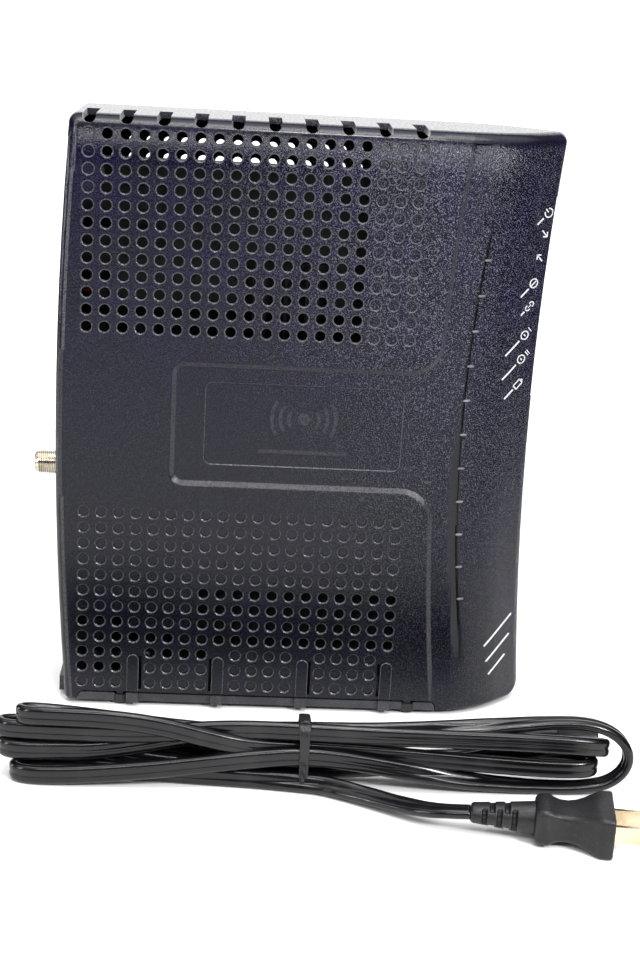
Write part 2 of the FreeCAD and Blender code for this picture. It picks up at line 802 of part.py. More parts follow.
def sketch_on(body, name, role):
    """A sketch on one of the body's own origin planes."""
    sketch = body.newObject("Sketcher::SketchObject", name)
    plane = [f for f in body.Origin.OriginFeatures if f.Role == role][0]
    sketch.AttachmentSupport = [(plane, "")]
    sketch.MapMode = "FlatFace"
    return sketch


def rectangle(sketch, length, width):
    """A rectangle about the sketch's origin with its sides bound to the sheet."""
    corners = [Vector(-1, -1, 0), Vector(1, -1, 0), Vector(1, 1, 0), Vector(-1, 1, 0)]
    for index in range(4):
        sketch.addGeometry(Part.LineSegment(corners[index], corners[(index + 1) % 4]), False)
    for index in range(4):
        sketch.addConstraint(Sketcher.Constraint("Coincident", index, 2, (index + 1) % 4, 1))
    for index, kind in enumerate(("Horizontal", "Vertical", "Horizontal", "Vertical")):
        sketch.addConstraint(Sketcher.Constraint(kind, index))
    sketch.addConstraint(Sketcher.Constraint("Symmetric", 0, 1, 1, 2, -1, 1))
    wide = sketch.addConstraint(Sketcher.Constraint("DistanceX", 0, 1, 0, 2, 2.0))
    tall = sketch.addConstraint(Sketcher.Constraint("DistanceY", 1, 1, 1, 2, 2.0))
    sketch.setExpression(f"Constraints[{wide}]", str(length))
    sketch.setExpression(f"Constraints[{tall}]", str(width))


# ------------------------------------------------------------------ connectors on the rear panel


def panel_face(up):
    """Where the panel's bowed outer face stands at a height."""
    rise = up - size("bow_height")
    radius = size("bow_radius") - size("panel_setback")
    return size("rear_face") + size("bow_radius") - math.sqrt(radius * radius - rise * rise)


def jack_body(name, up, length, near, far, width):
    """Corners of a connector's body: near and far are its sides across the case."""
    face = panel_face(up)
    return (name, (face, near, up - width / 2), (face + length, far, up + width / 2))


def list_jacks():
    board = size("board_side")
    phone = size("telephone_height")
    pitch = size("telephone_pitch")
    return [
        jack_body("telephone_jack_1", phone, 15.0, board - 12.4, board, 13.4),
        jack_body("telephone_jack_2", phone - pitch, 15.0, board - 12.4, board, 13.4),
        jack_body("ethernet_jack", size("ethernet_height"), 15.5, board - 13.6, board, 16.0),
        jack_body("usb_port", size("usb_height"), 15.0, board - 10.8, board, 12.2),
        jack_body("power_inlet", size("inlet_height"), 14.0, -10.0, board, 13.0),
    ]


def modular_jack(body, contacts_width, contacts_height, notch_width):
    """A modular jack: a block with a stepped socket, its latch slot on the left."""
    name, low, high = body
    middle_up = (low[2] + high[2]) / 2
    middle = (low[1] + high[1]) / 2 + 0.9
    depth = 12.0
    socket = block((low[0] - 1, middle - contacts_height / 2, middle_up - contacts_width / 2),
                   (low[0] + depth, middle + contacts_height / 2, middle_up + contacts_width / 2))
    latch = block((low[0] - 1, middle - contacts_height / 2 - 1.6, middle_up - notch_width / 2),
                  (low[0] + depth - 3, middle, middle_up + notch_width / 2))
    feature(name, block(low, high).cut(socket.fuse(latch)))


def make_jacks():
    phone_1, phone_2, ethernet, usb, inlet = JACK_BODIES
    modular_jack(phone_1, 9.8, 6.9, 3.4)
    modular_jack(phone_2, 9.8, 6.9, 3.4)
    modular_jack(ethernet, 11.9, 8.2, 4.2)
    make_usb_port(usb)
    make_power_inlet(inlet)


def make_usb_port(body):
    """Square USB socket with its chamfered mouth and short contact tongue."""
    name, low, high = body
    middle_up = (low[2] + high[2]) / 2
    middle = (low[1] + high[1]) / 2
    half_width = 4.25
    half_height = 3.9
    chamfer = 1.4
    mouth = Part.makePolygon([
        Vector(low[0] - 1, middle + half_height, middle_up - half_width),
        Vector(low[0] - 1, middle + half_height, middle_up + half_width),
        Vector(low[0] - 1, middle - half_height + chamfer, middle_up + half_width),
        Vector(low[0] - 1, middle - half_height, middle_up + half_width - chamfer),
        Vector(low[0] - 1, middle - half_height, middle_up - half_width + chamfer),
        Vector(low[0] - 1, middle - half_height + chamfer, middle_up - half_width),
        Vector(low[0] - 1, middle + half_height, middle_up - half_width)])
    socket = Part.Face(mouth).extrude(Vector(11.5, 0, 0))
    tongue = block((low[0] + 6.0, middle - 1.5, middle_up - 2.8), (low[0] + 11.0, middle + 1.5, middle_up + 2.8))
    feature(name, block(low, high).cut(socket.cut(tongue)))


def make_power_inlet(body):
    """Two-pin appliance inlet with its figure-of-eight socket and separate brass pins."""
    name, low, high = body
    middle_up = (low[2] + high[2]) / 2
    middle = (low[1] + high[1]) / 2
    radius = 4.0
    reach = size("inlet_pin_pitch") / 2
    depth = 10.5
    socket = block((low[0] - 1, middle - reach, middle_up - 2.6), (low[0] + depth, middle + reach, middle_up + 2.6))
    pins = []
    for side in (-1, 1):
        across = middle + side * reach
        socket = socket.fuse(cylinder(radius, (low[0] - 1, across, middle_up), ALONG, depth + 1))
        pins.append(cylinder(1.2, (low[0] + 1.0, across, middle_up), ALONG, depth - 1.0))
    feature(name, block(low, high).cut(socket))
    feature("power_inlet_pins", Part.makeCompound(pins))


def make_coax():
    """Coaxial connector: barrel with its hexagon, nut outside the panel and insulator."""
    up = size("coax_height")
    radius = size("coax_radius")
    end = size("coax_end")
    face = panel_face(up)
    back = face + size("panel_thickness")
    bore = 3.2

    def hexagon(start, flats, length):
        corner = flats / math.sqrt(3)
        points = [Vector(start, corner * math.sin(math.radians(60 * i)),
                         up + corner * math.cos(math.radians(60 * i))) for i in range(7)]
        return Part.Face(Part.makePolygon(points)).extrude(Vector(length, 0, 0))

    neck = radius - 0.4
    barrel = cylinder(radius, (end, 0, up), ALONG, face - 2.5 - end)
    barrel = barrel.fuse(cylinder(neck, (face - 3.5, 0, up), ALONG, size("panel_thickness") + 4.5))
    barrel = barrel.fuse(hexagon(back + 0.5, 13.0, 5.5)).fuse(cylinder(5.5, (back + 5, 0, up), ALONG, 13))
    barrel = barrel.cut(cylinder(bore, (end - 1, 0, up), ALONG, 14.0))
    feature("coax_connector", barrel)
    nut = hexagon(face - 2.4, 12.7, 2.3).cut(cylinder(neck + 0.05, (face - 5, 0, up), ALONG, 8))
    feature("coax_nut", nut)
    core = cylinder(bore - 0.05, (end + 1.0, 0, up), ALONG, 11.9)
    feature("coax_insulator", core.cut(cylinder(0.6, (end, 0, up), ALONG, 9)))


def make_reset():
    """Recessed reset button and the switch that it presses."""
    up = "Sizes.reset_height"
    face = panel_face(size("reset_height"))
    stem = rod("reset_stem", 1.6, 8.6, (face - 0.3, 0, up), "x")
    collar = rod("reset_collar", 2.6, 1.2, (face + size("panel_thickness") + 1.2, 0, up), "x")
    node(join("reset_button", [stem, collar]), "reset_button")
    switch = box("reset_switch", 6.0, "Sizes.board_side + 3", 6.2, (face + 9.3, -3.0, "Sizes.reset_height - 3.1"))
    node(switch, "reset_switch")


# ------------------------------------------------------------------ boards


def make_main_board():
    """Main board with clearance for a shell boss, and its screws."""
    board = box("board_blank", "Sizes.board_front - Sizes.board_rear", "Sizes.board_thickness",
                "Sizes.board_top - Sizes.board_bottom", ("Sizes.board_rear", "Sizes.board_side", "Sizes.board_bottom"))
    drills = [rod(f"board_drill_{index}", 1.6, 6, (along, "Sizes.board_side - 2", up), "y")
              for index, (along, up) in enumerate(BOARD_SCREWS)]
    boss_along, boss_up = SHELL_SCREWS[-1]
    drills.append(rod("boss_clearance", 5.2, 6, (boss_along, "Sizes.board_side - 2", boss_up), "y"))
    node(cut("main_board", board, join("board_drills", drills)), "main_board")
    screws = []
    for index, (along, up) in enumerate(BOARD_SCREWS):
        head = rod(f"board_screw_head_{index}", 2.6, 1.8, (along, "Sizes.board_side - 1.8", up), "y")
        shank = rod(f"board_screw_shank_{index}", 1.25, 7.5, (along, "Sizes.board_side - 0.5", up), "y")
        screws.append(join(f"board_screw_{index}", [head, shank]))
    node(group("board_screws", screws), "board_screws")


def on_board(name, along, up, length, height, depth):
    """A plain component standing on the main board."""
    part = box(name, length, depth, height, (along, f"Sizes.board_side - {depth}", up))
    return node(part, name)


def make_board_parts():
    on_board("tuner_shield", -69.0, 86.5, 34.0, 24.0, 11.0)
    on_board("modem_chip", -20.0, 150.0, 31.0, 31.0, 2.6)
    on_board("voice_chip", -44.0, 184.0, 14.0, 14.0, 1.6)
    on_board("memory_chip_1", 21.0, 150.0, 11.0, 18.0, 1.2)
    on_board("memory_chip_2", 21.0, 172.0, 11.0, 18.0, 1.2)
    on_board("ethernet_transformer", -68.0, 143.0, 12.0, 14.0, 6.0)
    on_board("crystal_can", -34.0, 140.0, 11.0, 4.6, 3.6)
    on_board("line_relay_1", -70.0, 201.0, 15.0, 10.0, 9.0)
    on_board("line_relay_2", -70.0, 183.0, 15.0, 10.0, 9.0)
    make_heat_sink()


def make_heat_sink():
    """Finned block on the modem chip."""
    base = box("sink_base", 35.0, 2.5, 35.0, (-22.0, "Sizes.board_side - 5.2", 148.0))
    fins = [box(f"sink_fin_{index}", 1.4, 9.5, 35.0, (-22.0 + 4.2 * index, "Sizes.board_side - 14.6", 148.0))
            for index in range(9)]
    node(join("heat_sink", [base] + fins), "heat_sink")


def make_supply():
    """Mains power supply on its own board at the foot of the case."""
    board = box("supply_board", "Sizes.supply_front - Sizes.supply_rear", "Sizes.board_thickness",
                "Sizes.supply_top - Sizes.supply_bottom",
                ("Sizes.supply_rear", "Sizes.board_side + 0.1", "Sizes.supply_bottom"))
    node(board, "power_supply_board")
    face = "Sizes.board_side - {}"
    node(box("power_transformer", 20.0, 18.0, 20.0, (-74.0, face.format(18.0), 50.0)), "power_transformer")
    node(rod("bulk_capacitor", 7.0, 22.0, (-55.0, 1.8, 16.0), "z"), "bulk_capacitor")
    outputs = [rod(f"output_capacitor_{index}", 4.0, 14.0, (-83.0 + 9.0 * index, -5.2, 74.6), "y")
               for index in range(3)]
    node(group("output_capacitors", outputs), "output_capacitors")
    node(box("line_filter", 12.0, 13.0, 12.0, (-76.0, face.format(13.0), 34.5)), "line_filter")
    node(rod("mains_fuse", 2.6, 16.0, (-50.5, 6.2, 45.0), "z"), "mains_fuse")


def make_housing_screws():
    """Four screws, from the right, that clamp the two shells together."""
    head_side = size("half_thickness") - 6.0
    screws = []
    for along, up in SHELL_SCREWS:
        shank = cylinder(1.45, (along, -12.0, up), ACROSS, 12.0 + head_side + 0.5)
        head = cylinder(2.9, (along, head_side, up), ACROSS, 2.4)
        drive = block((along - 2.2, head_side + 1.4, up - 0.4), (along + 2.2, head_side + 3, up + 0.4))
        cross = block((along - 0.4, head_side + 1.4, up - 2.2), (along + 0.4, head_side + 3, up + 2.2))
        screws.append(shank.fuse(head).cut([drive, cross]))
    feature("housing_screws", Part.makeCompound(screws))


# ------------------------------------------------------------------ mains lead


def tube(points, radius):
    """Round tube along straight runs joined by tangent arcs as large as the runs allow."""
    route = [Vector(*p) for p in points]
    edges = []
    start = route[0]
    for before, corner, after in zip(route, route[1:], route[2:]):
        into = corner - before
        out = after - corner
        turn = into.getAngle(out)
        cut_back = 0.45 * min(into.Length, out.Length)
        into.normalize()
        out.normalize()
        first = corner - into * cut_back
        last = corner + out * cut_back
        bend = cut_back / math.tan(turn / 2)
        normal = (out - into).normalize()
        middle = corner + normal * (math.hypot(bend, cut_back) - bend)
        edges.append(Part.LineSegment(start, first).toShape())
        edges.append(Part.Arc(first, middle, last).toShape())
        print(f"cord arc radius {bend:.1f} mm, turn {math.degrees(turn):.1f} degrees")
        start = last
    edges.append(Part.LineSegment(start, route[-1]).toShape())
    length = sum(edge.Length for edge in edges)
    path = Part.Wire(edges)
    circle = Part.Wire([Part.Circle(route[0], route[1] - route[0], radius).toShape()])
    shape = path.makePipeShell([circle], True, False)
    expected = math.pi * radius * radius * length
    print(f"cord tube {length:.1f} mm long, volume over expected {shape.Volume / expected:.4f}")
    return shape


def make_hank():
    """The folded lead's outer shape: long, flat, and pinched at its tie."""
    near = size("hank_near")
    left = size("hank_left")
    right = size("hank_right")
    height = size("hank_height")
    tie = size("tie_position")
    waist = 27.5
    end_height = height - 1.0
    curve = Part.BSplineCurve()
    curve.interpolate([Vector(left + 6, near, height - 1.5), Vector(-60, near, height - 2.5),
                       Vector(tie, near, waist), Vector(75, near, height), Vector(right - 14, near, end_height)])
    top = curve.toShape()
    outline = Part.Wire([
        top,
        Part.Arc(Vector(right - 14, near, end_height), Vector(right, near, 17.0),
                 Vector(right - 12, near, 0.1)).toShape(),
        Part.LineSegment(Vector(right - 12, near, 0.1), Vector(left + 10, near, 0.1)).toShape(),
        Part.Arc(Vector(left + 10, near, 0.1), Vector(left, near, 15.0),
                 Vector(left + 6, near, height - 1.5)).toShape(),
    ])
    hank = Part.Face(outline).extrude(Vector(0, size("hank_far") - near, 0))
    groove_low = (tie - 3.0, near - 5, -5)
    groove_high = (tie + 3.0, size("hank_far") + 5, 50)
    ring = block(groove_low, groove_high)
    core = block((tie - 4, near + 1.0, 1.2), (tie + 4, size("hank_far") - 1.0, waist - 1.0))
    feature("power_cord_hank", hank.cut(ring.cut(core)))
    band_outer = rounded_block((tie - 2.7, near + 0.1, 0.15), (tie + 2.7, size("hank_far") - 0.1, waist + 0.6),
                               0.8, ALONG)
    band = band_outer.cut(core)
    feature("cord_tie", band)
    feature("power_cord_tail", tube(TAIL_ROUTE, size("cord_width") / 2))
    feature("power_cord_lead_in", tube(LEAD_IN_ROUTE, size("cord_width") / 2))


def laid_at(spot, direction):
    """Placement that lays a shape drawn along +X from the origin at a spot, pointing a given way."""
    return Placement(Vector(*spot), Rotation(ALONG, Vector(*direction)))


def make_wall_plug():
    """Two-blade wall plug with a ribbed strain relief, lying on its side face."""
    relief_length = 23.0
    half_width = size("plug_width") / 2
    half_height = size("plug_height") / 2
    length = size("plug_length")
    relief = Part.makeCone(4.6, 6.4, relief_length, Vector(), ALONG)
    rear = relief_length + 0.05
    flange = 4.0
    grip = rounded_block((rear, -half_width + 3.5, -half_height + 1.5),
                         (rear + length - flange, half_width - 3.5, half_height - 1.5), 3.0, ALONG)
    mouth = rounded_block((rear + length - flange, -half_width, -half_height),
                          (rear + length, half_width, half_height), 3.0, ALONG)
    slots = []
    blades = []
    face = rear + length
    for side in (-1, 1):
        across = side * size("blade_spacing") / 2
        low = (face - 6.0, across - size("blade_thickness") / 2, -size("blade_width") / 2)
        high = (face + size("blade_length"), across + size("blade_thickness") / 2, size("blade_width") / 2)
        slots.append(block(low, high))
        blades.append(block(low, high))
    spot = laid_at(TAIL_ROUTE[-1], PLUG_DIRECTION)
    feature("wall_plug_relief", relief, spot)
    feature("wall_plug_body", grip.fuse(mouth).cut(slots), spot)
    feature("wall_plug_blades", Part.makeCompound(blades), spot)


def make_appliance_connector():
    """Connector that plugs into the power inlet, standing on edge behind the hank."""
    relief_length = 19.0
    relief = Part.makeCone(4.4, 5.4, relief_length, Vector(), ALONG)
    rear = relief_length + 0.05
    grip = rounded_block((rear, -5.2, -9.6), (rear + 22.0, 5.2, 9.6), 4.0, ALONG)
    radius = 3.8
    reach = size("inlet_pin_pitch") / 2
    nose = block((rear + 21.0, -2.4, -reach), (rear + 38.0, 2.4, reach))
    holes = []
    for side in (-1, 1):
        nose = nose.fuse(cylinder(radius, (rear + 21.0, 0, side * reach), ALONG, 17.0))
        holes.append(cylinder(1.35, (rear + 28.0, 0, side * reach), ALONG, 12.0))
    spot = laid_at(LEAD_IN_ROUTE[0], CONNECTOR_DIRECTION)
    feature("appliance_relief", relief, spot)
    feature("appliance_connector", grip.fuse(nose).cut(holes), spot)


# ------------------------------------------------------------------ build, check and write

JACK_BODIES = list_jacks()
make_shells()
make_rear_panel()
make_indicator_window()
make_feet()
make_bottom_cover()
make_battery()
make_jacks()
make_coax()
make_reset()
make_main_board()
make_board_parts()
make_supply()
make_housing_screws()
make_hank()
make_wall_plug()
make_appliance_connector()
doc.recompute()

for obj in doc.Objects:
    failed = [state for state in obj.State if state in ("Invalid", "Error")]
    if failed:
        raise RuntimeError(f"{obj.Label} did not build: {failed}")
for obj in NODES:
    if obj.Shape.isNull() or not obj.Shape.isValid() or obj.Shape.Volume <= 0:
        raise RuntimeError(f"{obj.Label} has no valid shape")

os.makedirs("parts", exist_ok=True)
for obj in NODES:
    obj.Shape.exportStep(f"parts/{obj.Label}.step")
print(f"{len(NODES)} sub-parts written")
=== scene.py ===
import json
import math

import bpy
from mathutils import Matrix, Vector
from mathutils.bvhtree import BVHTree


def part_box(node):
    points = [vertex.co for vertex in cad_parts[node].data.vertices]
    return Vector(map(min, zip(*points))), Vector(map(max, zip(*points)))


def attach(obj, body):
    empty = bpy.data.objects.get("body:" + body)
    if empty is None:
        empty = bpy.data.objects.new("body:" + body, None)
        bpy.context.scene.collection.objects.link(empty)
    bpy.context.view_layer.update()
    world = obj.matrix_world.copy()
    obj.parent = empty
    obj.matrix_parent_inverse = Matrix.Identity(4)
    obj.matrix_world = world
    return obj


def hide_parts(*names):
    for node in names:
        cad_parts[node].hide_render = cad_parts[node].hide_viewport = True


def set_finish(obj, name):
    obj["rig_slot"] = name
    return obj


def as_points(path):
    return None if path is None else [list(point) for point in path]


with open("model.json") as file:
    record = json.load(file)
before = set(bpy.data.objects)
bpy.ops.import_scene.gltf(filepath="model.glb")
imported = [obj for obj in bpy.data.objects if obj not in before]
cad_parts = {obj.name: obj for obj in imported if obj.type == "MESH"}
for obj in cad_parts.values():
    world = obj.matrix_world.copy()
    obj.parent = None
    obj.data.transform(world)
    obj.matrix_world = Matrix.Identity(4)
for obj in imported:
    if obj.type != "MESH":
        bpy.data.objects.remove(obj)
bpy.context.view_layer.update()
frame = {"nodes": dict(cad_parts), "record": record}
nodes = frame["nodes"]

# ---------------- camera


CAMERA_PLACE = (-0.0239, -0.6613, 0.2956)
CAMERA_YAW = math.radians(-3.24)
CAMERA_PITCH = math.radians(16.97)
CAMERA_ROLL = math.radians(3.23)
FOCAL_LENGTH = 62.16
SENSOR_WIDTH = 36.0


def make_camera():
    """A camera a little above the modem, turned and rolled slightly, looking at its left side."""
    upright = Matrix(((1, 0, 0), (0, 0, -1), (0, 1, 0)))
    turn_yaw = Matrix.Rotation(CAMERA_YAW, 3, "Y")
    turn_pitch = Matrix.Rotation(CAMERA_PITCH, 3, "X")
    turn_roll = Matrix.Rotation(CAMERA_ROLL, 3, "Z")
    seen = turn_roll @ turn_pitch @ turn_yaw @ upright
    right, up, back = seen[0], -seen[1], -seen[2]
    data = bpy.data.cameras.new("camera")
    data.lens = FOCAL_LENGTH
    data.sensor_width = SENSOR_WIDTH
    camera = bpy.data.objects.new("camera", data)
    bpy.context.scene.collection.objects.link(camera)
    turn = Matrix((right, up, back)).transposed().to_4x4()
    camera.matrix_world = Matrix.Translation(CAMERA_PLACE) @ turn
    bpy.context.scene.camera = camera


make_camera()

# ---------------- small helpers


def new_object(name, verts, faces, smooth=True):
    """An object in the scene from vertices and faces."""
    mesh = bpy.data.meshes.new(name)
    mesh.from_pydata([tuple(v) for v in verts], [], faces)
    mesh.validate()
    mesh.update()
    for polygon in mesh.polygons:
        polygon.use_smooth = smooth
    obj = bpy.data.objects.new(name, mesh)
    bpy.context.scene.collection.objects.link(obj)
    return obj


def skin(rings, closed_ends=True):
    """Vertices and faces of a tube through rings of equal point counts."""
    count = len(rings[0])
    verts = [point for ring in rings for point in ring]
    faces = []
    for i in range(len(rings) - 1):
        for j in range(count):
            k = (j + 1) % count
            faces.append((i * count + j, i * count + k, (i + 1) * count + k, (i + 1) * count + j))
    if closed_ends:
        faces.append(tuple(range(count))[::-1])
        faces.append(tuple((len(rings) - 1) * count + j for j in range(count)))
    return verts, faces


def join_parts(parts):
    """One list of vertices and one of faces from several pairs of them."""
    verts = []
    faces = []
    for part_verts, part_faces in parts:
        start = len(verts)
        verts.extend(part_verts)
        faces.extend([tuple(start + k for k in face) for face in part_faces])
    return verts, faces


def smooth_step(low, high, value):
    """0 below low, 1 above high and a smooth change between them."""
    t = min(max((value - low) / (high - low), 0.0), 1.0)
    return t * t * (3 - 2 * t)


def nurbs_points(control, resolution):
    """Points along a smooth spline with these control points."""
    curve = bpy.data.curves.new("route", "CURVE")
    curve.dimensions = "3D"
    spline = curve.splines.new("NURBS")
    spline.points.add(len(control) - 1)
    for point, place in zip(spline.points, control):
        point.co = (*place[:3], 1.0)
    spline.order_u = 3
    spline.use_endpoint_u = True
    spline.resolution_u = resolution
    holder = bpy.data.objects.new("route", curve)
    bpy.context.scene.collection.objects.link(holder)
    mesh = bpy.data.meshes.new_from_object(holder)
    points = [v.co.copy() for v in mesh.vertices]
    bpy.data.objects.remove(holder)
    bpy.data.meshes.remove(mesh)
    bpy.data.curves.remove(curve)
    return points


def blend_values(values, count):
    """Smoothly spreads one value per control point over the points along their spline."""
    spans = len(values) - 2
    spread = []
    for i in range(count):
        u = i / (count - 1) * spans + 0.5
        u = min(max(u, 0.0), len(values) - 1.001)
        low = int(u)
        share = smooth_step(0.0, 1.0, u - low)
        spread.append(values[low] * (1 - share) + values[low + 1] * share)
    return spread


# ---------------- power cord

# Where the cord's centreline runs, in metres, and how far its flat width is turned from upright.
LEAD_IN = [
    (0.0670, -0.0675, 0.0106, 0), (0.0540, -0.0683, 0.0105, 0), (0.0415, -0.0712, 0.0102, 0),
    (0.0300, -0.0755, 0.0106, 0), (0.0195, -0.0803, 0.0123, 0),
]
FIRST_TURN = [
    (0.0080, -0.0848, 0.0155, 0), (-0.0120, -0.0852, 0.0172, 0), (-0.0300, -0.0852, 0.0186, 0),
    (-0.0450, -0.0852, 0.0198, 0), (-0.0620, -0.0862, 0.0222, 0), (-0.0780, -0.0875, 0.0244, 0),
    (-0.0880, -0.0880, 0.0255, 0), (-0.0962, -0.0890, 0.0263, 0), (-0.0990, -0.0922, 0.0270, 0),
    (-0.0955, -0.0955, 0.0275, 0), (-0.0860, -0.0966, 0.0280, 0), (-0.0640, -0.0968, 0.0277, 0),
    (-0.0450, -0.0965, 0.0252, 0), (-0.0280, -0.0960, 0.0206, 0), (-0.0120, -0.0930, 0.0160, 0),
    (0.0080, -0.0906, 0.0146, 0), (0.0300, -0.0908, 0.0140, 0), (0.0600, -0.0920, 0.0128, 0),
    (0.0900, -0.0932, 0.0116, 0), (0.1060, -0.0934, 0.0112, 0), (0.1160, -0.0924, 0.0110, 0),
    (0.1205, -0.0889, 0.0109, 0), (0.1165, -0.0850, 0.0108, 0),
]
SECOND_TURN = [
    (0.1060, -0.0836, 0.0107, 0), (0.0900, -0.0832, 0.0104, 0), (0.0600, -0.0840, 0.0096, 0),
    (0.0300, -0.0850, 0.0082, 0), (0.0080, -0.0852, 0.0072, 0), (-0.0250, -0.0850, 0.0086, 0),
    (-0.0500, -0.0845, 0.0118, 0), (-0.0700, -0.0838, 0.0156, 0), (-0.0850, -0.0834, 0.0177, 0),
    (-0.0970, -0.0836, 0.0188, 0), (-0.1045, -0.0852, 0.0195, 0), (-0.1068, -0.0885, 0.0200, 0),
    (-0.1042, -0.0918, 0.0203, 0), (-0.0960, -0.0929, 0.0204, 0), (-0.0840, -0.0929, 0.0202, 0),
    (-0.0600, -0.0926, 0.0199, 0), (-0.0450, -0.0926, 0.0206, 0), (-0.0280, -0.0922, 0.0224, 0),
    (-0.0120, -0.0924, 0.0232, 0), (0.0080, -0.0932, 0.0232, 0), (0.0350, -0.0944, 0.0230, 0),
    (0.0650, -0.0950, 0.0229, 0), (0.0900, -0.0950, 0.0226, 0), (0.1070, -0.0945, 0.0219, 0),
    (0.1185, -0.0932, 0.0206, 0), (0.1240, -0.0898, 0.0190, 0), (0.1205, -0.0862, 0.0178, 0),
]
THIRD_TURN = [
    (0.1080, -0.0852, 0.0172, 0), (0.0900, -0.0868, 0.0148, 0), (0.0600, -0.0882, 0.0092, 0),
    (0.0300, -0.0890, 0.0068, 0), (0.0080, -0.0900, 0.0056, 0), (-0.0280, -0.0880, 0.0056, 0),
    (-0.0500, -0.0886, 0.0070, 0), (-0.0700, -0.0880, 0.0110, 0), (-0.0850, -0.0868, 0.0124, 0),
    (-0.0970, -0.0858, 0.0125, 0), (-0.1035, -0.0868, 0.0126, 0), (-0.1058, -0.0900, 0.0127, 0),
    (-0.1030, -0.0932, 0.0127, 0), (-0.0950, -0.0940, 0.0127, 0), (-0.0850, -0.0932, 0.0127, 0),
    (-0.0700, -0.0920, 0.0124, 0), (-0.0500, -0.0890, 0.0146, 0), (-0.0300, -0.0886, 0.0190, 0),
    (-0.0120, -0.0887, 0.0210, 0), (0.0080, -0.0890, 0.0218, 0), (0.0300, -0.0898, 0.0224, 3),
    (0.0500, -0.0902, 0.0236, 18), (0.0700, -0.0906, 0.0256, 45), (0.0880, -0.0906, 0.0278, 75),
    (0.1030, -0.0904, 0.0292, 88), (0.1160, -0.0903, 0.0292, 90), (0.1260, -0.0903, 0.0258, 90),
    (0.1322, -0.0903, 0.0190, 90), (0.1320, -0.0903, 0.0108, 90), (0.1255, -0.0903, 0.0044, 90),
    (0.1145, -0.0904, 0.0024, 90),
]
FOURTH_TURN = [
    (0.1010, -0.0908, 0.0023, 88), (0.0860, -0.0914, 0.0030, 75), (0.0680, -0.0926, 0.0050, 48),
    (0.0480, -0.0942, 0.0086, 18), (0.0280, -0.0949, 0.0124, 3), (0.0080, -0.0950, 0.0144, 0),
    (-0.0120, -0.0953, 0.0122, 0), (-0.0280, -0.0958, 0.0102, 0), (-0.0480, -0.0964, 0.0074, 0),
    (-0.0700, -0.0969, 0.0052, 0), (-0.0850, -0.0970, 0.0042, 0), (-0.0950, -0.0964, 0.0039, 0),
    (-0.1005, -0.0938, 0.0038, 0), (-0.1008, -0.0892, 0.0038, 0), (-0.0950, -0.0868, 0.0038, 0),
    (-0.0840, -0.0866, 0.0038, 0), (-0.0600, -0.0898, 0.0038, 0), (-0.0400, -0.0924, 0.0038, 0),
    (-0.0150, -0.0938, 0.0038, 8),
]
TAIL = [
    (0.0125, -0.0969, 0.0039, 30), (0.0201, -0.0998, 0.0040, 45), (0.0317, -0.1057, 0.0040, 62),
    (0.0427, -0.1126, 0.0046, 74), (0.0526, -0.1193, 0.0062, 84), (0.0601, -0.1222, 0.0074, 90),
    (0.0680, -0.1233, 0.0080, 90),
]
CORD_CONTROL = LEAD_IN + FIRST_TURN + SECOND_TURN + THIRD_TURN + FOURTH_TURN + TAIL
CORD_WIDTH = 0.0073
CORD_THICKNESS = 0.0037
CORD_POINTS_PER_SPAN = 14
# The groove between the cord's cores: how far from the middle, and the share of the thickness left there.
CORD_GROOVE = ((0.0010, 0.99), (0.0005, 0.93), (0.0, 0.84), (-0.0005, 0.93), (-0.0010, 0.99))


def cord_section():
    """The cord's outline: two round cores side by side with a shallow groove between them."""
    radius = CORD_THICKNESS / 2
    reach = CORD_WIDTH / 2 - radius
    outline = []
    for side in (1, -1):
        for i in range(11):
            angle = math.radians(-80 + 16 * i)
            outline.append((side * (reach + radius * math.cos(angle)), side * radius * math.sin(angle)))
        for wide, deep in CORD_GROOVE:
            outline.append((side * wide, side * radius * deep))
    return outline


def sweep_flat(name, points, turns, outline):
    """A flat section swept along points, its width turned from upright by the angles given."""
    rings = []
    for i, point in enumerate(points):
        ahead = points[min(i + 1, len(points) - 1)]
        behind = points[max(i - 1, 0)]
        along = (ahead - behind).normalized()
        turn = math.radians(turns[i])
        width = Vector((0, math.sin(turn), math.cos(turn)))
        width = (width - along * width.dot(along)).normalized()
        depth = along.cross(width)
        rings.append([point + width * w + depth * d for w, d in outline])
    return new_object(name, *skin(rings))


def make_cord():
    """The flat cord swept along its whole route, and the points it follows."""
    points = nurbs_points(CORD_CONTROL, CORD_POINTS_PER_SPAN)
    turns = blend_values([p[3] for p in CORD_CONTROL], len(points))
    return sweep_flat("power_cord", points, turns, cord_section()), points


cord, cord_points = make_cord()
cord_length = sum((b - a).length for a, b in zip(cord_points, cord_points[1:]))

# ---------------- wall plug, reliefs and tie

# The wall plug and the appliance connector lie at the cord's two ends, each along its own +X.
PLUG_SPOT = (Matrix.Translation(TAIL[-1][:3])
             @ Matrix.Rotation(math.atan2(-0.14, 1.0), 4, "Z"))
CONNECTOR_SPOT = (Matrix.Translation(LEAD_IN[0][:3])
                  @ Matrix.Rotation(math.atan2(-0.06, 1.0), 4, "Z")
                  @ Matrix.Rotation(math.radians(1.15), 4, "Y"))
PLUG_REAR = 0.02305
PLUG_FACE = PLUG_REAR + 0.028
CONNECTOR_REAR = 0.01905
RELIEF_SLOT_DEPTH = 0.0021


def slot_depth(along, angle, first, pitch, count):
    """How deep a strain relief's slots are at a place: on its sides, and half a pitch on above and below."""
    deepest = 0.0
    for shift, on_sides in ((0.0, True), (0.5, False)):
        facing = abs(math.cos(angle)) if on_sides else abs(math.sin(angle))
        spread = smooth_step(0.60, 0.72, facing)
        for k in range(count if on_sides else count - 1):
            middle = first + (k + shift) * pitch
            deepest = max(deepest, spread * (1 - smooth_step(0.00055, 0.0011, abs(along - middle))))
    return deepest


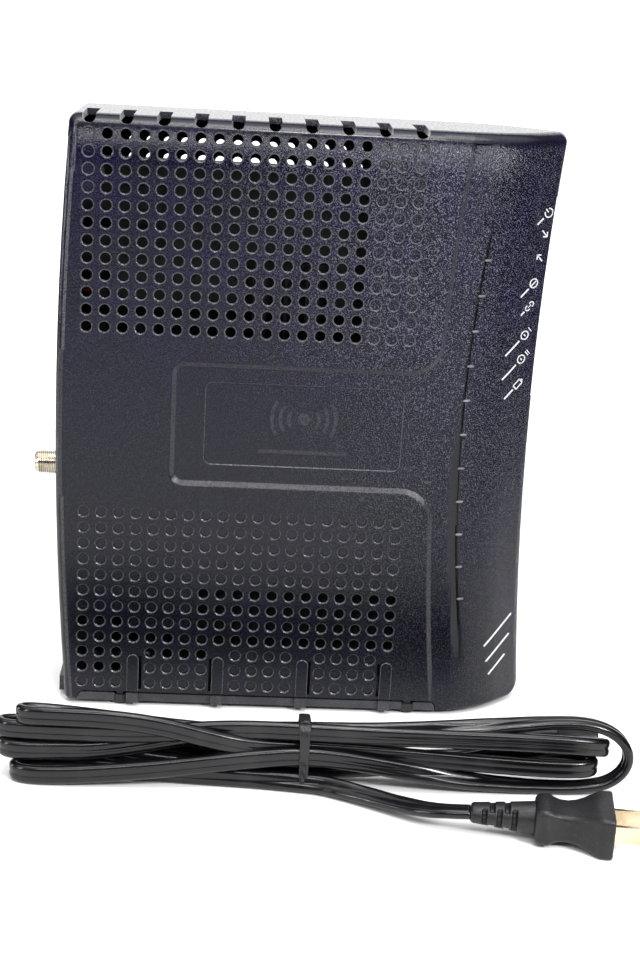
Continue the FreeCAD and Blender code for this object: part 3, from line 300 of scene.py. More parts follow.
def make_relief(name, length, start, end, flat_start, first, pitch, count, spot):
    """A strain relief that tapers from one radius to another, flatter at its start, with rows of slots."""
    rings = []
    steps = 110
    count_round = 72
    for i in range(steps + 1):
        share = i / steps
        along = length * share
        radius = start + (end - start) * share
        radius -= 0.0006 * (1 - smooth_step(0.0, 0.0008, along))
        flat = flat_start * (1 - share)
        ring = []
        for j in range(count_round):
            angle = 2 * math.pi * j / count_round
            reach = radius - RELIEF_SLOT_DEPTH * slot_depth(along, angle, first, pitch, count)
            ring.append(spot @ Vector((along, reach * math.cos(angle) * (1 + flat * 0.1),
                                       reach * math.sin(angle) * (1 - flat))))
        rings.append(ring)
    return new_object(name, *skin(rings))


def rounded_section(half_wide, half_high, corner, count=48):
    """A rectangle with rounded corners as points round its middle."""
    outline = []
    for j in range(count):
        angle = 2 * math.pi * (j + 0.5) / count
        quarter = int(j // (count / 4))
        sign_wide = 1 if quarter in (0, 3) else -1
        sign_high = 1 if quarter in (0, 1) else -1
        outline.append((sign_wide * (half_wide - corner) + corner * math.cos(angle),
                        sign_high * (half_high - corner) + corner * math.sin(angle)))
    return outline


def loft(name, stations, spot):
    """A body through rounded sections: along, half width, half height and corner of each."""
    rings = []
    for along, half_wide, half_high, corner in stations:
        rings.append([spot @ Vector((along, wide, high)) for wide, high in
                      rounded_section(half_wide, half_high, corner)])
    return new_object(name, *skin(rings))


def make_plug():
    """Moulded wall plug: a collar, a waist to grip and a flared block that carries the blades."""
    rear = PLUG_REAR
    face = PLUG_FACE
    stations = [
        (rear, 0.0068, 0.0056, 0.0022), (rear + 0.0006, 0.0076, 0.0063, 0.0022),
        (rear + 0.0016, 0.0082, 0.0068, 0.0022), (rear + 0.0040, 0.0085, 0.0070, 0.0022),
        (rear + 0.0052, 0.0084, 0.0069, 0.0022), (rear + 0.0066, 0.0078, 0.0062, 0.0021),
        (rear + 0.0090, 0.0074, 0.0055, 0.0020), (rear + 0.0120, 0.0075, 0.0053, 0.0020),
        (rear + 0.0150, 0.0082, 0.0056, 0.0020), (rear + 0.0180, 0.0094, 0.0063, 0.0020),
        (rear + 0.0205, 0.0107, 0.0071, 0.0020), (rear + 0.0222, 0.0117, 0.0077, 0.0020),
        (rear + 0.0232, 0.0123, 0.00793, 0.0020), (rear + 0.0240, 0.01247, 0.00798, 0.0020),
        (face - 0.0007, 0.01247, 0.00798, 0.0020), (face - 0.0002, 0.0122, 0.0077, 0.0018),
        (face, 0.0118, 0.0073, 0.0016),
    ]
    return loft("wall_plug_grip", stations, PLUG_SPOT)


BLADE_HALF_SPACING = 0.00635
BLADE_HALF_WIDTH = 0.003175
BLADE_HALF_THICKNESS = 0.00072
BLADE_EDGE = 0.00008
BLADE_LENGTH = 0.0165
BLADE_ROOT = 0.002
BLADE_TIP_REACH = 0.0016
BLADE_HOLE_RADIUS = 0.0016
BLADE_HOLE_AT = 0.0117


def blade_outlines():
    """The outline of a blade with its rounded tip, and the outline of its hole."""
    root = PLUG_FACE - BLADE_ROOT
    shoulder = PLUG_FACE + BLADE_LENGTH - BLADE_TIP_REACH
    steps = 10
    outline = [(root, -BLADE_HALF_WIDTH), (shoulder, -BLADE_HALF_WIDTH)]
    for i in range(1, steps):
        angle = math.radians(-90 + 180 * i / steps)
        outline.append((shoulder + BLADE_TIP_REACH * math.cos(angle), BLADE_HALF_WIDTH * math.sin(angle)))
    outline += [(shoulder, BLADE_HALF_WIDTH), (root, BLADE_HALF_WIDTH)]
    hole = []
    for i in range(24):
        angle = 2 * math.pi * i / 24
        hole.append((PLUG_FACE + BLADE_HOLE_AT + BLADE_HOLE_RADIUS * math.cos(angle),
                     BLADE_HOLE_RADIUS * math.sin(angle)))
    return outline, hole


def make_blade(name, middle):
    """One flat blade, standing upright at a distance to one side of the plug's middle."""
    curve = bpy.data.curves.new("blade", "CURVE")
    curve.dimensions = "2D"
    curve.fill_mode = "BOTH"
    curve.extrude = BLADE_HALF_THICKNESS
    curve.bevel_depth = BLADE_EDGE
    for loop in blade_outlines():
        spline = curve.splines.new("POLY")
        spline.points.add(len(loop) - 1)
        for point, place in zip(spline.points, loop):
            point.co = (place[0], place[1], 0, 1)
        spline.use_cyclic_u = True
    holder = bpy.data.objects.new("blade", curve)
    bpy.context.scene.collection.objects.link(holder)
    mesh = bpy.data.meshes.new_from_object(holder)
    bpy.data.objects.remove(holder)
    bpy.data.curves.remove(curve)
    upright = Matrix.Rotation(math.radians(90), 4, "X")
    mesh.transform(PLUG_SPOT @ Matrix.Translation((0, middle, 0)) @ upright)
    blade = bpy.data.objects.new(name, mesh)
    bpy.context.scene.collection.objects.link(blade)
    return blade


def make_appliance_connector():
    """Two-hole connector: a waisted grip that steps down to a flat rounded nose."""
    rear = CONNECTOR_REAR
    stations = [
        (rear, 0.0040, 0.0062, 0.0030), (rear + 0.0010, 0.0049, 0.0088, 0.0034),
        (rear + 0.0030, 0.0051, 0.0095, 0.0036), (rear + 0.0050, 0.0050, 0.0093, 0.0036),
        (rear + 0.0075, 0.0044, 0.0080, 0.0034), (rear + 0.0110, 0.0043, 0.0077, 0.0034),
        (rear + 0.0150, 0.0046, 0.0082, 0.0034), (rear + 0.0190, 0.0050, 0.0091, 0.0036),
        (rear + 0.0215, 0.0051, 0.0094, 0.0036), (rear + 0.0222, 0.0048, 0.0090, 0.0034),
        (rear + 0.0224, 0.0040, 0.0082, 0.0034), (rear + 0.0226, 0.0038, 0.0080, 0.0034),
        (rear + 0.0378, 0.0038, 0.0080, 0.0034), (rear + 0.0382, 0.0036, 0.0078, 0.0034),
    ]
    return loft("appliance_connector_grip", stations, CONNECTOR_SPOT)


def flat_strip(path, half_width, half_depth):
    """Vertices and faces of an oval strip along a path, its width as near to X as the path allows."""
    rings = []
    for i, point in enumerate(path):
        ahead = path[min(i + 1, len(path) - 1)]
        behind = path[max(i - 1, 0)]
        along = (ahead - behind).normalized()
        wide = Vector((1, 0, 0))
        wide = (wide - along * wide.dot(along)).normalized()
        deep = along.cross(wide)
        ring = []
        for j in range(12):
            angle = 2 * math.pi * j / 12
            ring.append(point + wide * half_width * math.cos(angle) + deep * half_depth * math.sin(angle))
        rings.append(ring)
    return skin(rings)


def squared(value, corner=5.0):
    """A sine or cosine drawn out towards a rounded square."""
    return abs(value) ** (2 / corner) * math.copysign(1, value)


def tie_wraps():
    """The path of the tie's three turns round the bundle."""
    turns = 3
    steps = 40
    path = []
    for i in range(turns * steps + 1):
        angle = 2 * math.pi * i / steps
        share = i / (turns * steps)
        grow = 1.0 + 0.004 * math.sin(7 * angle)
        path.append(Vector((0.0066 + 0.0028 * share + 0.0003 * math.sin(2.3 * angle),
                            -0.0899 + 0.0076 * squared(math.cos(angle)) * grow,
                            0.0142 + 0.0127 * squared(math.sin(angle)) * grow)))
    return path


def tie_twist(phase):
    """The path of one of the two strands that hang twisted in front of the bundle."""
    path = []
    for i in range(60):
        share = i / 59
        turn = phase + share * 9.0
        reach = 0.0006 * (1 - 0.6 * share)
        path.append(Vector((0.0082 - 0.0010 * share + reach * math.cos(turn),
                            -0.0978 + reach * math.sin(turn), 0.0125 - 0.0115 * share)))
    return path


def tie_stub(phase):
    """The path of one of the two strands of the tie's short end, on top of the bundle."""
    path = []
    for i in range(20):
        share = i / 19
        turn = phase + share * 5.0
        path.append(Vector((0.0070 + 0.0024 * share + 0.0005 * math.cos(turn),
                            -0.0935 + 0.0005 * math.sin(turn), 0.0270 + 0.0008 * math.sin(3 * share))))
    return path


def make_tie():
    """A thin plastic-covered wire tie: turns round the bundle, a hanging twisted end and a short end."""
    parts = [flat_strip(tie_wraps(), 0.00115, 0.00035)]
    parts += [flat_strip(tie_twist(phase), 0.0007, 0.0005) for phase in (0.0, math.pi)]
    parts += [flat_strip(tie_stub(phase), 0.0006, 0.0005) for phase in (0.0, math.pi)]
    return new_object("cord_tie_band", *join_parts(parts))


plug = make_plug()
blades = [make_blade("wall_plug_blade_near", -BLADE_HALF_SPACING),
          make_blade("wall_plug_blade_far", BLADE_HALF_SPACING)]
relief = make_relief("wall_plug_boot", length=0.0230, start=0.0043, end=0.0062, flat_start=0.20,
                     first=0.0050, pitch=0.0054, count=3, spot=PLUG_SPOT)
connector = make_appliance_connector()
connector_relief = make_relief("appliance_boot", length=0.0190, start=0.0042, end=0.0053, flat_start=0.10,
                               first=0.0040, pitch=0.0044, count=3, spot=CONNECTOR_SPOT)
tie = make_tie()
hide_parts("power_cord_hank", "power_cord_tail", "power_cord_lead_in")
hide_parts("wall_plug_body")
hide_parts("wall_plug_blades")
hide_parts("wall_plug_blades")
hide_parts("wall_plug_relief")
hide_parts("appliance_connector")
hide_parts("appliance_relief")
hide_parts("cord_tie")
cord_pieces = [plug, *blades, relief, connector, connector_relief, tie]
for piece in [cord, *cord_pieces]:
    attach(piece, "case")
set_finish(cord, "cord_jacket")
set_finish(tie, "tie_plastic")
for piece in (plug, relief, connector, connector_relief):
    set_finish(piece, "plug_plastic")
for piece in blades:
    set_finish(piece, "blade_brass")
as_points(cord_points)

# ---------------- coaxial connector

COAX_HEIGHT = 0.0972
COAX_LOW, COAX_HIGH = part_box("coax_connector")
COAX_MOUTH = COAX_LOW.x
COAX_BACK = COAX_HIGH.x
THREAD_CREST = 0.00476
THREAD_ROOT = 0.00425
THREAD_FOOT = THREAD_ROOT - 0.0002
THREAD_PITCH = 0.0254 / 32
THREAD_TURNS = 11.5
BORE_RADIUS = 0.0032
BORE_DEPTH = 0.0135
NECK_RADIUS = 0.0043
COLLAR_RADIUS = 0.0054
FLANGE_CORNER = 0.0075
FLANGE_CHAMFER = 0.0005


def around(along, radius, angle):
    """A point at an angle round the coaxial connector's axis."""
    return Vector((along, radius * math.cos(angle), COAX_HEIGHT + radius * math.sin(angle)))


def make_coax_thread():
    """The thread's ridge, 32 turns to the inch, wound round the barrel."""
    section = ((0.22, THREAD_FOOT), (0.42, THREAD_CREST), (0.66, THREAD_CREST), (0.86, THREAD_FOOT))
    steps = 36
    rings = []
    for i in range(int(THREAD_TURNS * steps) + 1):
        lead = COAX_MOUTH + 0.0009 + THREAD_PITCH * i / steps
        angle = 2 * math.pi * i / steps
        rings.append([around(lead + THREAD_PITCH * share, radius, angle) for share, radius in section])
    return new_object("coax_thread_ridge", *skin(rings), False)


def turned(name, outline, count=64, start=0.0, smooth=True):
    """A closed body turned about the coaxial connector's axis from (x, radius) points."""
    rings = []
    for along, radius in outline:
        rings.append([around(along, radius, start + 2 * math.pi * j / count) for j in range(count)])
    return new_object(name, *skin(rings + [rings[0]], False), smooth)


def make_coax_barrel():
    """The smooth parts of the coaxial connector: mouth, core under the thread, neck and rear collar."""
    mouth = COAX_MOUTH
    back = COAX_BACK
    neck = mouth + 0.0108
    return turned("coax_barrel", (
        (mouth + BORE_DEPTH, BORE_RADIUS), (mouth + 0.0003, BORE_RADIUS), (mouth, 0.0034), (mouth, 0.0038),
        (mouth + 0.0006, THREAD_ROOT), (neck, THREAD_ROOT), (neck + 0.0005, NECK_RADIUS),
        (mouth + 0.0160, NECK_RADIUS), (mouth + 0.0165, COLLAR_RADIUS), (back - 0.0005, COLLAR_RADIUS),
        (back, 0.0050), (back, 0.0001), (mouth + BORE_DEPTH, 0.0001),
    ))


def make_coax_flange():
    """The hexagon behind the rear panel."""
    start = COAX_MOUTH + 0.0156
    end = start + 0.0053
    chamfered = FLANGE_CORNER - FLANGE_CHAMFER
    return turned("coax_flange", (
        (start, 0.0048), (start, chamfered), (start + 0.0003, FLANGE_CORNER), (end - 0.0003, FLANGE_CORNER),
        (end, chamfered), (end, 0.0048),
    ), 6, math.radians(30), False)


# ---------------- marks on the nose

# The nose's vent line is part of a wide circle about a place far in front of the modem.
VENT_AXIS = (0.6470, 0.1220)
VENT_RADIUS = 0.5800
BRIDGE_COUNT = 11
BRIDGE_TOP = 0.1926
BRIDGE_PITCH = 0.01406
BRIDGE_LENGTH = 0.0031
BRIDGE_SIZE = 0.00070


def make_projector(node):
    """Drops points onto a CAD node's left side, straight along +Y."""
    mesh = frame["nodes"][node].data
    corners = [v.co.copy() for v in mesh.vertices]
    tree = BVHTree.FromPolygons(corners, [tuple(p.vertices) for p in mesh.polygons])

    def drop(along, up):
        hit, normal, _, _ = tree.ray_cast(Vector((along, -0.08, up)), Vector((0, 1, 0)))
        return hit, normal

    return drop


def make_print(name, outlines, thickness=0.00005):
    """Thin printed shapes laid on the left shell; each outline is a convex list of (x, z) points."""
    drop = make_projector("side_shell_left")
    parts = []
    for outline in outlines:
        landed = [drop(x, z) for x, z in outline]
        if any(hit is None for hit, _ in landed):
            continue
        outer = [hit + normal * thickness for hit, normal in landed]
        inner = [hit - normal * thickness for hit, normal in landed]
        count = len(outline)
        faces = [tuple(range(count)), tuple(count + i for i in reversed(range(count)))]
        for i in range(count):
            k = (i + 1) % count
            faces.append((i, count + i, count + k, k))
        parts.append((outer + inner, faces))
    return new_object(name, *join_parts(parts), False)


def line_piece(a, b, width):
    """A straight stroke from a to b."""
    run = math.hypot(b[0] - a[0], b[1] - a[1])
    side_x = -(b[1] - a[1]) / run * width / 2
    side_z = (b[0] - a[0]) / run * width / 2
    return [(a[0] + side_x, a[1] + side_z), (b[0] + side_x, b[1] + side_z),
            (b[0] - side_x, b[1] - side_z), (a[0] - side_x, a[1] - side_z)]


def arc_pieces(centre, radius, start, end, width, count=10):
    """A stroke bent round a centre, as short straight pieces."""
    points = []
    for i in range(count + 1):
        angle = math.radians(start + (end - start) * i / count)
        points.append((centre[0] + radius * math.cos(angle), centre[1] + radius * math.sin(angle)))
    return [line_piece(a, b, width) for a, b in zip(points, points[1:])]


def icon_shapes(kind, stroke=0.00050):
    """Strokes of a small generic symbol, about 4 mm across, about its own centre."""
    radius = 0.0018
    if kind == "power":
        stem = line_piece((0, 0.0003), (0, 0.0022), stroke)
        return arc_pieces((0, 0), radius, 125, 415, stroke, 14) + [stem]
    if kind in ("down", "up"):
        way = 1 if kind == "up" else -1
        return [line_piece((0, -0.0018 * way), (0, 0.0018 * way), stroke),
                line_piece((-0.0013, 0.0005 * way), (0, 0.0019 * way), stroke),
                line_piece((0.0013, 0.0005 * way), (0, 0.0019 * way), stroke)]
    if kind == "ring":
        bar = line_piece((-radius, 0), (radius, 0), stroke)
        return arc_pieces((0, 0), radius, 0, 360, stroke, 16) + [bar]
    if kind == "link":
        left = arc_pieces((-0.0011, 0), 0.0010, 60, 300, stroke)
        right = arc_pieces((0.0011, 0), 0.0010, -120, 120, stroke)
        return left + right + [line_piece((-0.0008, 0), (0.0008, 0), stroke)]
    if kind == "dial":
        dot = line_piece((-0.0003, 0), (0.0003, 0), 0.0010)
        return arc_pieces((0, 0), 0.0017, 0, 360, stroke, 16) + [dot]
    # What is left is the battery: an oblong with a small cap.
    corners = ((-0.0020, -0.0011), (0.0016, -0.0011), (0.0016, 0.0011), (-0.0020, 0.0011), (-0.0020, -0.0011))
    sides = [line_piece(a, b, stroke) for a, b in zip(corners, corners[1:])]
    return sides + [line_piece((0.0022, -0.0005), (0.0022, 0.0005), stroke)]


# Each mark beside a lamp: symbol, place along and up, how many dashes follow it, and the length of its bar.
ICONS = [
    ("power", 0.0978, 0.2100, 0, 0.0035),
    ("down", 0.0968, 0.2018, 0, 0.0),
    ("up", 0.0956, 0.1920, 0, 0.0),
    ("ring", 0.0940, 0.1820, 0, 0.0045),
    ("link", 0.0930, 0.1728, 0, 0.0020),
    ("dial", 0.0920, 0.1610, 1, 0.0080),
    ("dial", 0.0914, 0.1512, 2, 0.0080),
    ("battery", 0.0910, 0.1410, 0, 0.0050),
]
# Each bar low on the nose: place along and up, and length.
NOSE_BARS = [(0.0915, 0.0345, 0.0165), (0.0920, 0.0265, 0.0140), (0.0922, 0.0190, 0.0100)]
SLANT = math.radians(42)


def slanted(outline, centre):
    """An outline turned to run up the nose."""
    cosine = math.cos(SLANT)
    sine = math.sin(SLANT)
    return [(centre[0] + x * cosine - z * sine, centre[1] + x * sine + z * cosine) for x, z in outline]


def bar_pieces(start, end, width, count):
    """A straight bar as short pieces, so that it can follow the nose."""
    step = (end - start) / count
    return [line_piece((start + step * k, 0), (start + step * (k + 1), 0), width) for k in range(count)]


def make_icons():
    """The symbols beside the lamps, each with its dashes and its bar."""
    shapes = []
    for kind, along, up, dashes, bar in ICONS:
        strokes = icon_shapes(kind)
        for k in range(dashes):
            place = 0.0031 + 0.0009 * k
            strokes.append(line_piece((place, -0.0012), (place, 0.0012), 0.0004))
        if bar > 0:
            strokes += bar_pieces(-0.0030 - bar, -0.0030, 0.0007, 8)
        shapes += [slanted(stroke, (along, up)) for stroke in strokes]
    return make_print("indicator_icons", shapes)


def make_bars():
    """Three plain slanted bars low on the nose, where the real one carries printing."""
    shapes = []
    for along, up, length in NOSE_BARS:
        strokes = bar_pieces(-length / 2, length / 2, 0.0009, 12)
        shapes += [slanted(stroke, (along, up)) for stroke in strokes]
    return make_print("nose_bars", shapes)


def make_vent_bridges():
    """Small rounded bridges across the nose's vent line."""
    drop = make_projector("side_shell_left")
    angles = [2 * math.pi * j / 12 for j in range(12)]
    parts = []
    for index in range(BRIDGE_COUNT):
        up = BRIDGE_TOP - BRIDGE_PITCH * index
        rise = up - VENT_AXIS[1]
        left = VENT_AXIS[0] - math.sqrt(VENT_RADIUS ** 2 - rise ** 2)
        rings = []
        for i in range(7):
            share = i / 6
            hit, _ = drop(left + BRIDGE_LENGTH * share, up)
            size = BRIDGE_SIZE * math.sqrt(max(0.04, 1 - (2 * share - 1) ** 6))
            rings.append([hit + Vector((0, -0.8 * size * math.cos(a), 0.7 * size * math.sin(a)))
                          for a in angles])
        parts.append(skin(rings))
    return new_object("vent_bridges", *join_parts(parts))


coax_pieces = [make_coax_thread(), make_coax_barrel(), make_coax_flange()]
icons = make_icons()
bars = make_bars()
bridges = make_vent_bridges()
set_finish(bridges, "case_plastic")
for piece in coax_pieces:
    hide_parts("coax_connector")
    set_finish(piece, "nickel_plate")
for piece in (*coax_pieces, icons, bars, bridges):
    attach(piece, "case")

# ---------------- material helpers


def new_material(name, colour, roughness, metallic=0.0, gloss=0.5):
    """A node material: its tree, its shader and the object's own coordinates."""
    material = bpy.data.materials.new(name)
    material.use_nodes = True
    tree = material.node_tree
    shader = tree.nodes["Principled BSDF"]
    shader.inputs["Base Color"].default_value = (*colour, 1)
    shader.inputs["Roughness"].default_value = roughness
    shader.inputs["Metallic"].default_value = metallic
    shader.inputs["Specular IOR Level"].default_value = gloss
    place = tree.nodes.new("ShaderNodeTexCoord").outputs["Object"]
    return material, tree, shader, place


def noise(tree, place, scale, detail=1.0):
    """Smooth noise between 0 and 1, its grains about a metre over scale wide."""
    node = tree.nodes.new("ShaderNodeTexNoise")
    node.inputs["Scale"].default_value = scale
    node.inputs["Detail"].default_value = detail
    tree.links.new(place, node.inputs["Vector"])
    return node.outputs["Fac"]


def stretched(tree, place, scale):
    """The coordinates scaled by three factors, for brushed or drawn surfaces."""
    node = tree.nodes.new("ShaderNodeMapping")
    node.inputs["Scale"].default_value = scale
    tree.links.new(place, node.inputs["Vector"])
    return node.outputs["Vector"]


def maths(tree, operation, *terms):
    """One Math node's result; each term is a number or another node's output."""
    node = tree.nodes.new("ShaderNodeMath")
    node.operation = operation
    for socket, term in zip(node.inputs, terms):
        if isinstance(term, (int, float)):
            socket.default_value = term
        else:
            tree.links.new(term, socket)
    return node.outputs[0]


def product(tree, first, second):
    """One term times another."""
    return maths(tree, "MULTIPLY", first, second)


def larger(tree, first, second):
    """The larger of two terms."""
    return maths(tree, "MAXIMUM", first, second)


def between(tree, value, low, high, start=0.0, end=1.0):
    """A smooth change from start to end while value goes from low to high."""
    node = tree.nodes.new("ShaderNodeMapRange")
    node.interpolation_type = "SMOOTHSTEP"
    tree.links.new(value, node.inputs["Value"])
    node.inputs["From Min"].default_value = low
    node.inputs["From Max"].default_value = high
    node.inputs["To Min"].default_value = start
    node.inputs["To Max"].default_value = end
    return node.outputs["Result"]


def band(tree, value, low, high, soft):
    """1 between two limits, fading out over a short way inside them."""
    return product(tree, between(tree, value, low, low + soft), between(tree, value, high, high - soft))


def mixed(tree, factor, first, second):
    """A mix of two colours; each is three numbers or another node's output."""
    node = tree.nodes.new("ShaderNodeMix")
    node.data_type = "RGBA"
    tree.links.new(factor, node.inputs["Factor"])
    for socket, colour in ((node.inputs[6], first), (node.inputs[7], second)):
        if isinstance(colour, tuple):
            socket.default_value = (*colour, 1)
        else:
            tree.links.new(colour, socket)
    return node.outputs[2]


def bump(tree, shader, height):
    """Relief from a height in metres."""
    node = tree.nodes.new("ShaderNodeBump")
    node.inputs["Distance"].default_value = 1.0
    node.inputs["Strength"].default_value = 1.0
    tree.links.new(height, node.inputs["Height"])
    tree.links.new(node.outputs["Normal"], shader.inputs["Normal"])


def axes(tree, place):
    """The x, y and z of some coordinates."""
    node = tree.nodes.new("ShaderNodeSeparateXYZ")
    tree.links.new(place, node.inputs["Vector"])
    return node.outputs


# ---------------- materials

GRAIN_SCALE = 2300.0
GRAIN_HEIGHT = 0.00013
ROUNDING_BOTTOM = 0.2376
ROLL_START = ROUNDING_BOTTOM - 0.016
ROLL_BEND = -14.0
BAND_WIDTH = 0.0040
BAND_DIP = 0.0008
GROOVE_WIDTH = 0.0012
HALF_THICKNESS = 0.0250
UPPER_GRID_BOTTOM = 0.1500
LOWER_GRID_TOP = 0.0910
GRIDS_FRONT = 0.0525
SUNK_BAND_FRONT = 0.064
PLAQUE_FRONT = 0.0500
PLAQUE_SPAN = (0.098, 0.148)
# How deep below the case's side each kind of edge lies, from its shallow limit to its deep one.
VENT_RIM = (0.00003, 0.00048)
SUNK_SLOPE = (0.00010, 0.00118)
PLAQUE_EDGE = (0.00121, 0.00153)
PLAQUE_MARK = (0.00158, 0.00190)
RIB_EDGE = (-0.00098, -0.00012)
# The case's own blue-black colour, painted lighter and bluer at the top as light from above and darker at the
# bottom as shade.
TOP_TINT_PAINTED_LIGHT = (0.003, 0.002, 0.014)
BOTTOM_TINT_PAINTED_SHADE = (0.0015, 0.002, 0.004)
CLOUD_TINT = (0.002, 0.002, 0.007)
# Pale specks painted into the colour as glints of the grain.
PAINTED_GLINT_COLOUR = (0.105, 0.102, 0.140)
# Painted highlights on hole rims, the plaque's edge and the rib edges.
RIM_HIGHLIGHT_COLOUR = (0.070, 0.070, 0.076)
# Painted highlight on the sunk band's slope; the plaque mark is painted lighter with it.
SLOPE_HIGHLIGHT_COLOUR = (0.032, 0.032, 0.038)
# Near-black painted shade in the vent groove.
GROOVE_SHADE_COLOUR = (0.001, 0.001, 0.001)


def vent_distance(tree, along, up):
    """How far a place is behind the left edge of the nose's vent line, in metres."""
    across = maths(tree, "SUBTRACT", along, VENT_AXIS[0])
    rise = maths(tree, "SUBTRACT", up, VENT_AXIS[1])
    squares = maths(tree, "ADD", product(tree, across, across), product(tree, rise, rise))
    return maths(tree, "SUBTRACT", maths(tree, "SQRT", squares), VENT_RADIUS)


def vent_line_shares(tree, along, up):
    """The dip behind the nose's vent line, the smooth strip that runs into it, and the line itself, which is
    painted near-black as shade in the groove.
    """
    beyond = vent_distance(tree, along, up)
    ends = product(tree, between(tree, up, 0.020, 0.040), between(tree, up, 0.140, 0.080))
    share = product(tree, between(tree, beyond, BAND_WIDTH, 0.0), ends)
    dip = product(tree, share, maths(tree, "GREATER_THAN", beyond, 0.0))
    in_groove = between(tree, beyond, -GROOVE_WIDTH - 0.0003, -GROOVE_WIDTH)
    strip = product(tree, product(tree, share, 4.0), in_groove)
    height_share = band(tree, up, 0.040, 0.206, 0.010)
    line = product(tree, band(tree, beyond, -GROOVE_WIDTH, 0.0001, 0.0002), height_share)
    return dip, strip, line


def rim_highlight_shares(tree, along, across, up):
    """Where the hole rims, the plaque's edge and the rib edges get painted highlights, and where the sunk
    band's slope and the plaque mark are painted lighter, told from their depth.
    """
    depth = maths(tree, "SUBTRACT", HALF_THICKNESS, maths(tree, "ABSOLUTE", across))
    grids = larger(tree, between(tree, up, UPPER_GRID_BOTTOM, UPPER_GRID_BOTTOM + 0.0005),
                   between(tree, up, LOWER_GRID_TOP, LOWER_GRID_TOP - 0.0005))
    grids = product(tree, grids, between(tree, along, GRIDS_FRONT, GRIDS_FRONT - 0.0005))
    rims = product(tree, band(tree, depth, *VENT_RIM, 0.00005), grids)
    # The rim highlights are painted brighter higher up.
    rims = product(tree, rims, between(tree, up, 0.08, 0.15, 0.6, 1.0))
    slope = product(tree, band(tree, depth, *SUNK_SLOPE, 0.0001),
                    between(tree, along, SUNK_BAND_FRONT, SUNK_BAND_FRONT - 0.001))
    slope = product(tree, slope, maths(tree, "SUBTRACT", 1.0, grids))
    near_plaque = product(tree, between(tree, along, PLAQUE_FRONT, PLAQUE_FRONT - 0.0005),
                          band(tree, up, *PLAQUE_SPAN, 0.001))
    edge = product(tree, band(tree, depth, *PLAQUE_EDGE, 0.00002), near_plaque)
    mark = product(tree, band(tree, depth, *PLAQUE_MARK, 0.00002), near_plaque)
    slope = larger(tree, slope, product(tree, mark, 0.8))
    ribs = band(tree, depth, *RIB_EDGE, 0.0001)
    return larger(tree, larger(tree, rims, edge), ribs), slope


def case_painted_glints(tree, place, up, corner, rough):
    """Painted glints: pale specks in the colour where the grain would catch the light, thicker towards the
    top front corner where the light falls most, and fewer low down.
    """
    fine = between(tree, noise(tree, place, 3100.0, 0.0), 0.62, 0.73)
    coarse = between(tree, noise(tree, place, 1700.0, 0.0), 0.68, 0.76, 0.0, 0.7)
    glint_specks = product(tree, larger(tree, fine, coarse), rough)
    glint_specks = product(tree, glint_specks, between(tree, corner, 0.02, 0.22, 0.14, 1.0))
    return product(tree, glint_specks, between(tree, up, 0.03, 0.16, 0.4, 1.0))


def case_plastic(name, with_vent_line):
    """Blue-black plastic with a glinting spark grain, smooth on its rounding and at the vent line; its colour
    also carries painted glints, painted highlights on rims, edges and slopes, painted light towards the top
    and, with the vent line, painted shade in its groove.
    """
    material, tree, shader, place = new_material(name, (0.003, 0.003, 0.008), 0.18, gloss=0.26)
    along, across, up = axes(tree, place)
    smooth = between(tree, up, ROUNDING_BOTTOM - 0.0035, ROUNDING_BOTTOM)
    roll = larger(tree, maths(tree, "SUBTRACT", up, ROLL_START), 0.0)
    height = product(tree, product(tree, roll, roll), ROLL_BEND)
    if with_vent_line:
        dip, strip, line = vent_line_shares(tree, along, up)
        height = maths(tree, "SUBTRACT", height, product(tree, dip, BAND_DIP))
        smooth = maths(tree, "MINIMUM", larger(tree, smooth, strip), 1.0)
    rough = maths(tree, "SUBTRACT", 1.0, product(tree, smooth, 0.92))
    corner = maths(tree, "ADD", product(tree, up, 0.6), product(tree, along, 1.6))
    relief = between(tree, corner, 0.04, 0.24, 0.7 * GRAIN_HEIGHT, 1.7 * GRAIN_HEIGHT)
    grain = product(tree, noise(tree, place, GRAIN_SCALE), product(tree, rough, relief))
    bump(tree, shader, maths(tree, "ADD", height, grain))
    # Painted light: the colour runs from darker at the bottom to lighter and bluer at the top, where the
    # light from above falls.
    tint_painted_light = mixed(tree, between(tree, up, 0.06, 0.20), BOTTOM_TINT_PAINTED_SHADE, TOP_TINT_PAINTED_LIGHT)
    clouds = between(tree, noise(tree, place, 45.0, 3.0), 0.35, 0.65)
    colour = mixed(tree, clouds, tint_painted_light, CLOUD_TINT)
    # Painted glints of the grain.
    colour = mixed(tree, case_painted_glints(tree, place, up, corner, rough), colour, PAINTED_GLINT_COLOUR)
    rims, slope = rim_highlight_shares(tree, along, across, up)
    # Noise breaks up the painted highlights on rims, edges and slope.
    highlight_breakup = between(tree, noise(tree, place, 1500.0), 0.30, 0.65, 0.25, 1.0)
    colour = mixed(tree, product(tree, rims, highlight_breakup), colour, RIM_HIGHLIGHT_COLOUR)
    # Painted highlight on the sunk band's slope; the plaque mark is painted lighter with it.
    colour = mixed(tree, product(tree, slope, highlight_breakup), colour, SLOPE_HIGHLIGHT_COLOUR)
    if with_vent_line:
        # Painted shade: the vent groove is painted near-black.
        colour = mixed(tree, line, colour, GROOVE_SHADE_COLOUR)
    tree.links.new(colour, shader.inputs["Base Color"])
    shine = between(tree, noise(tree, place, 900.0), 0.35, 0.65, 0.12, 0.22)
    tree.links.new(shine, shader.inputs["Roughness"])
    return material


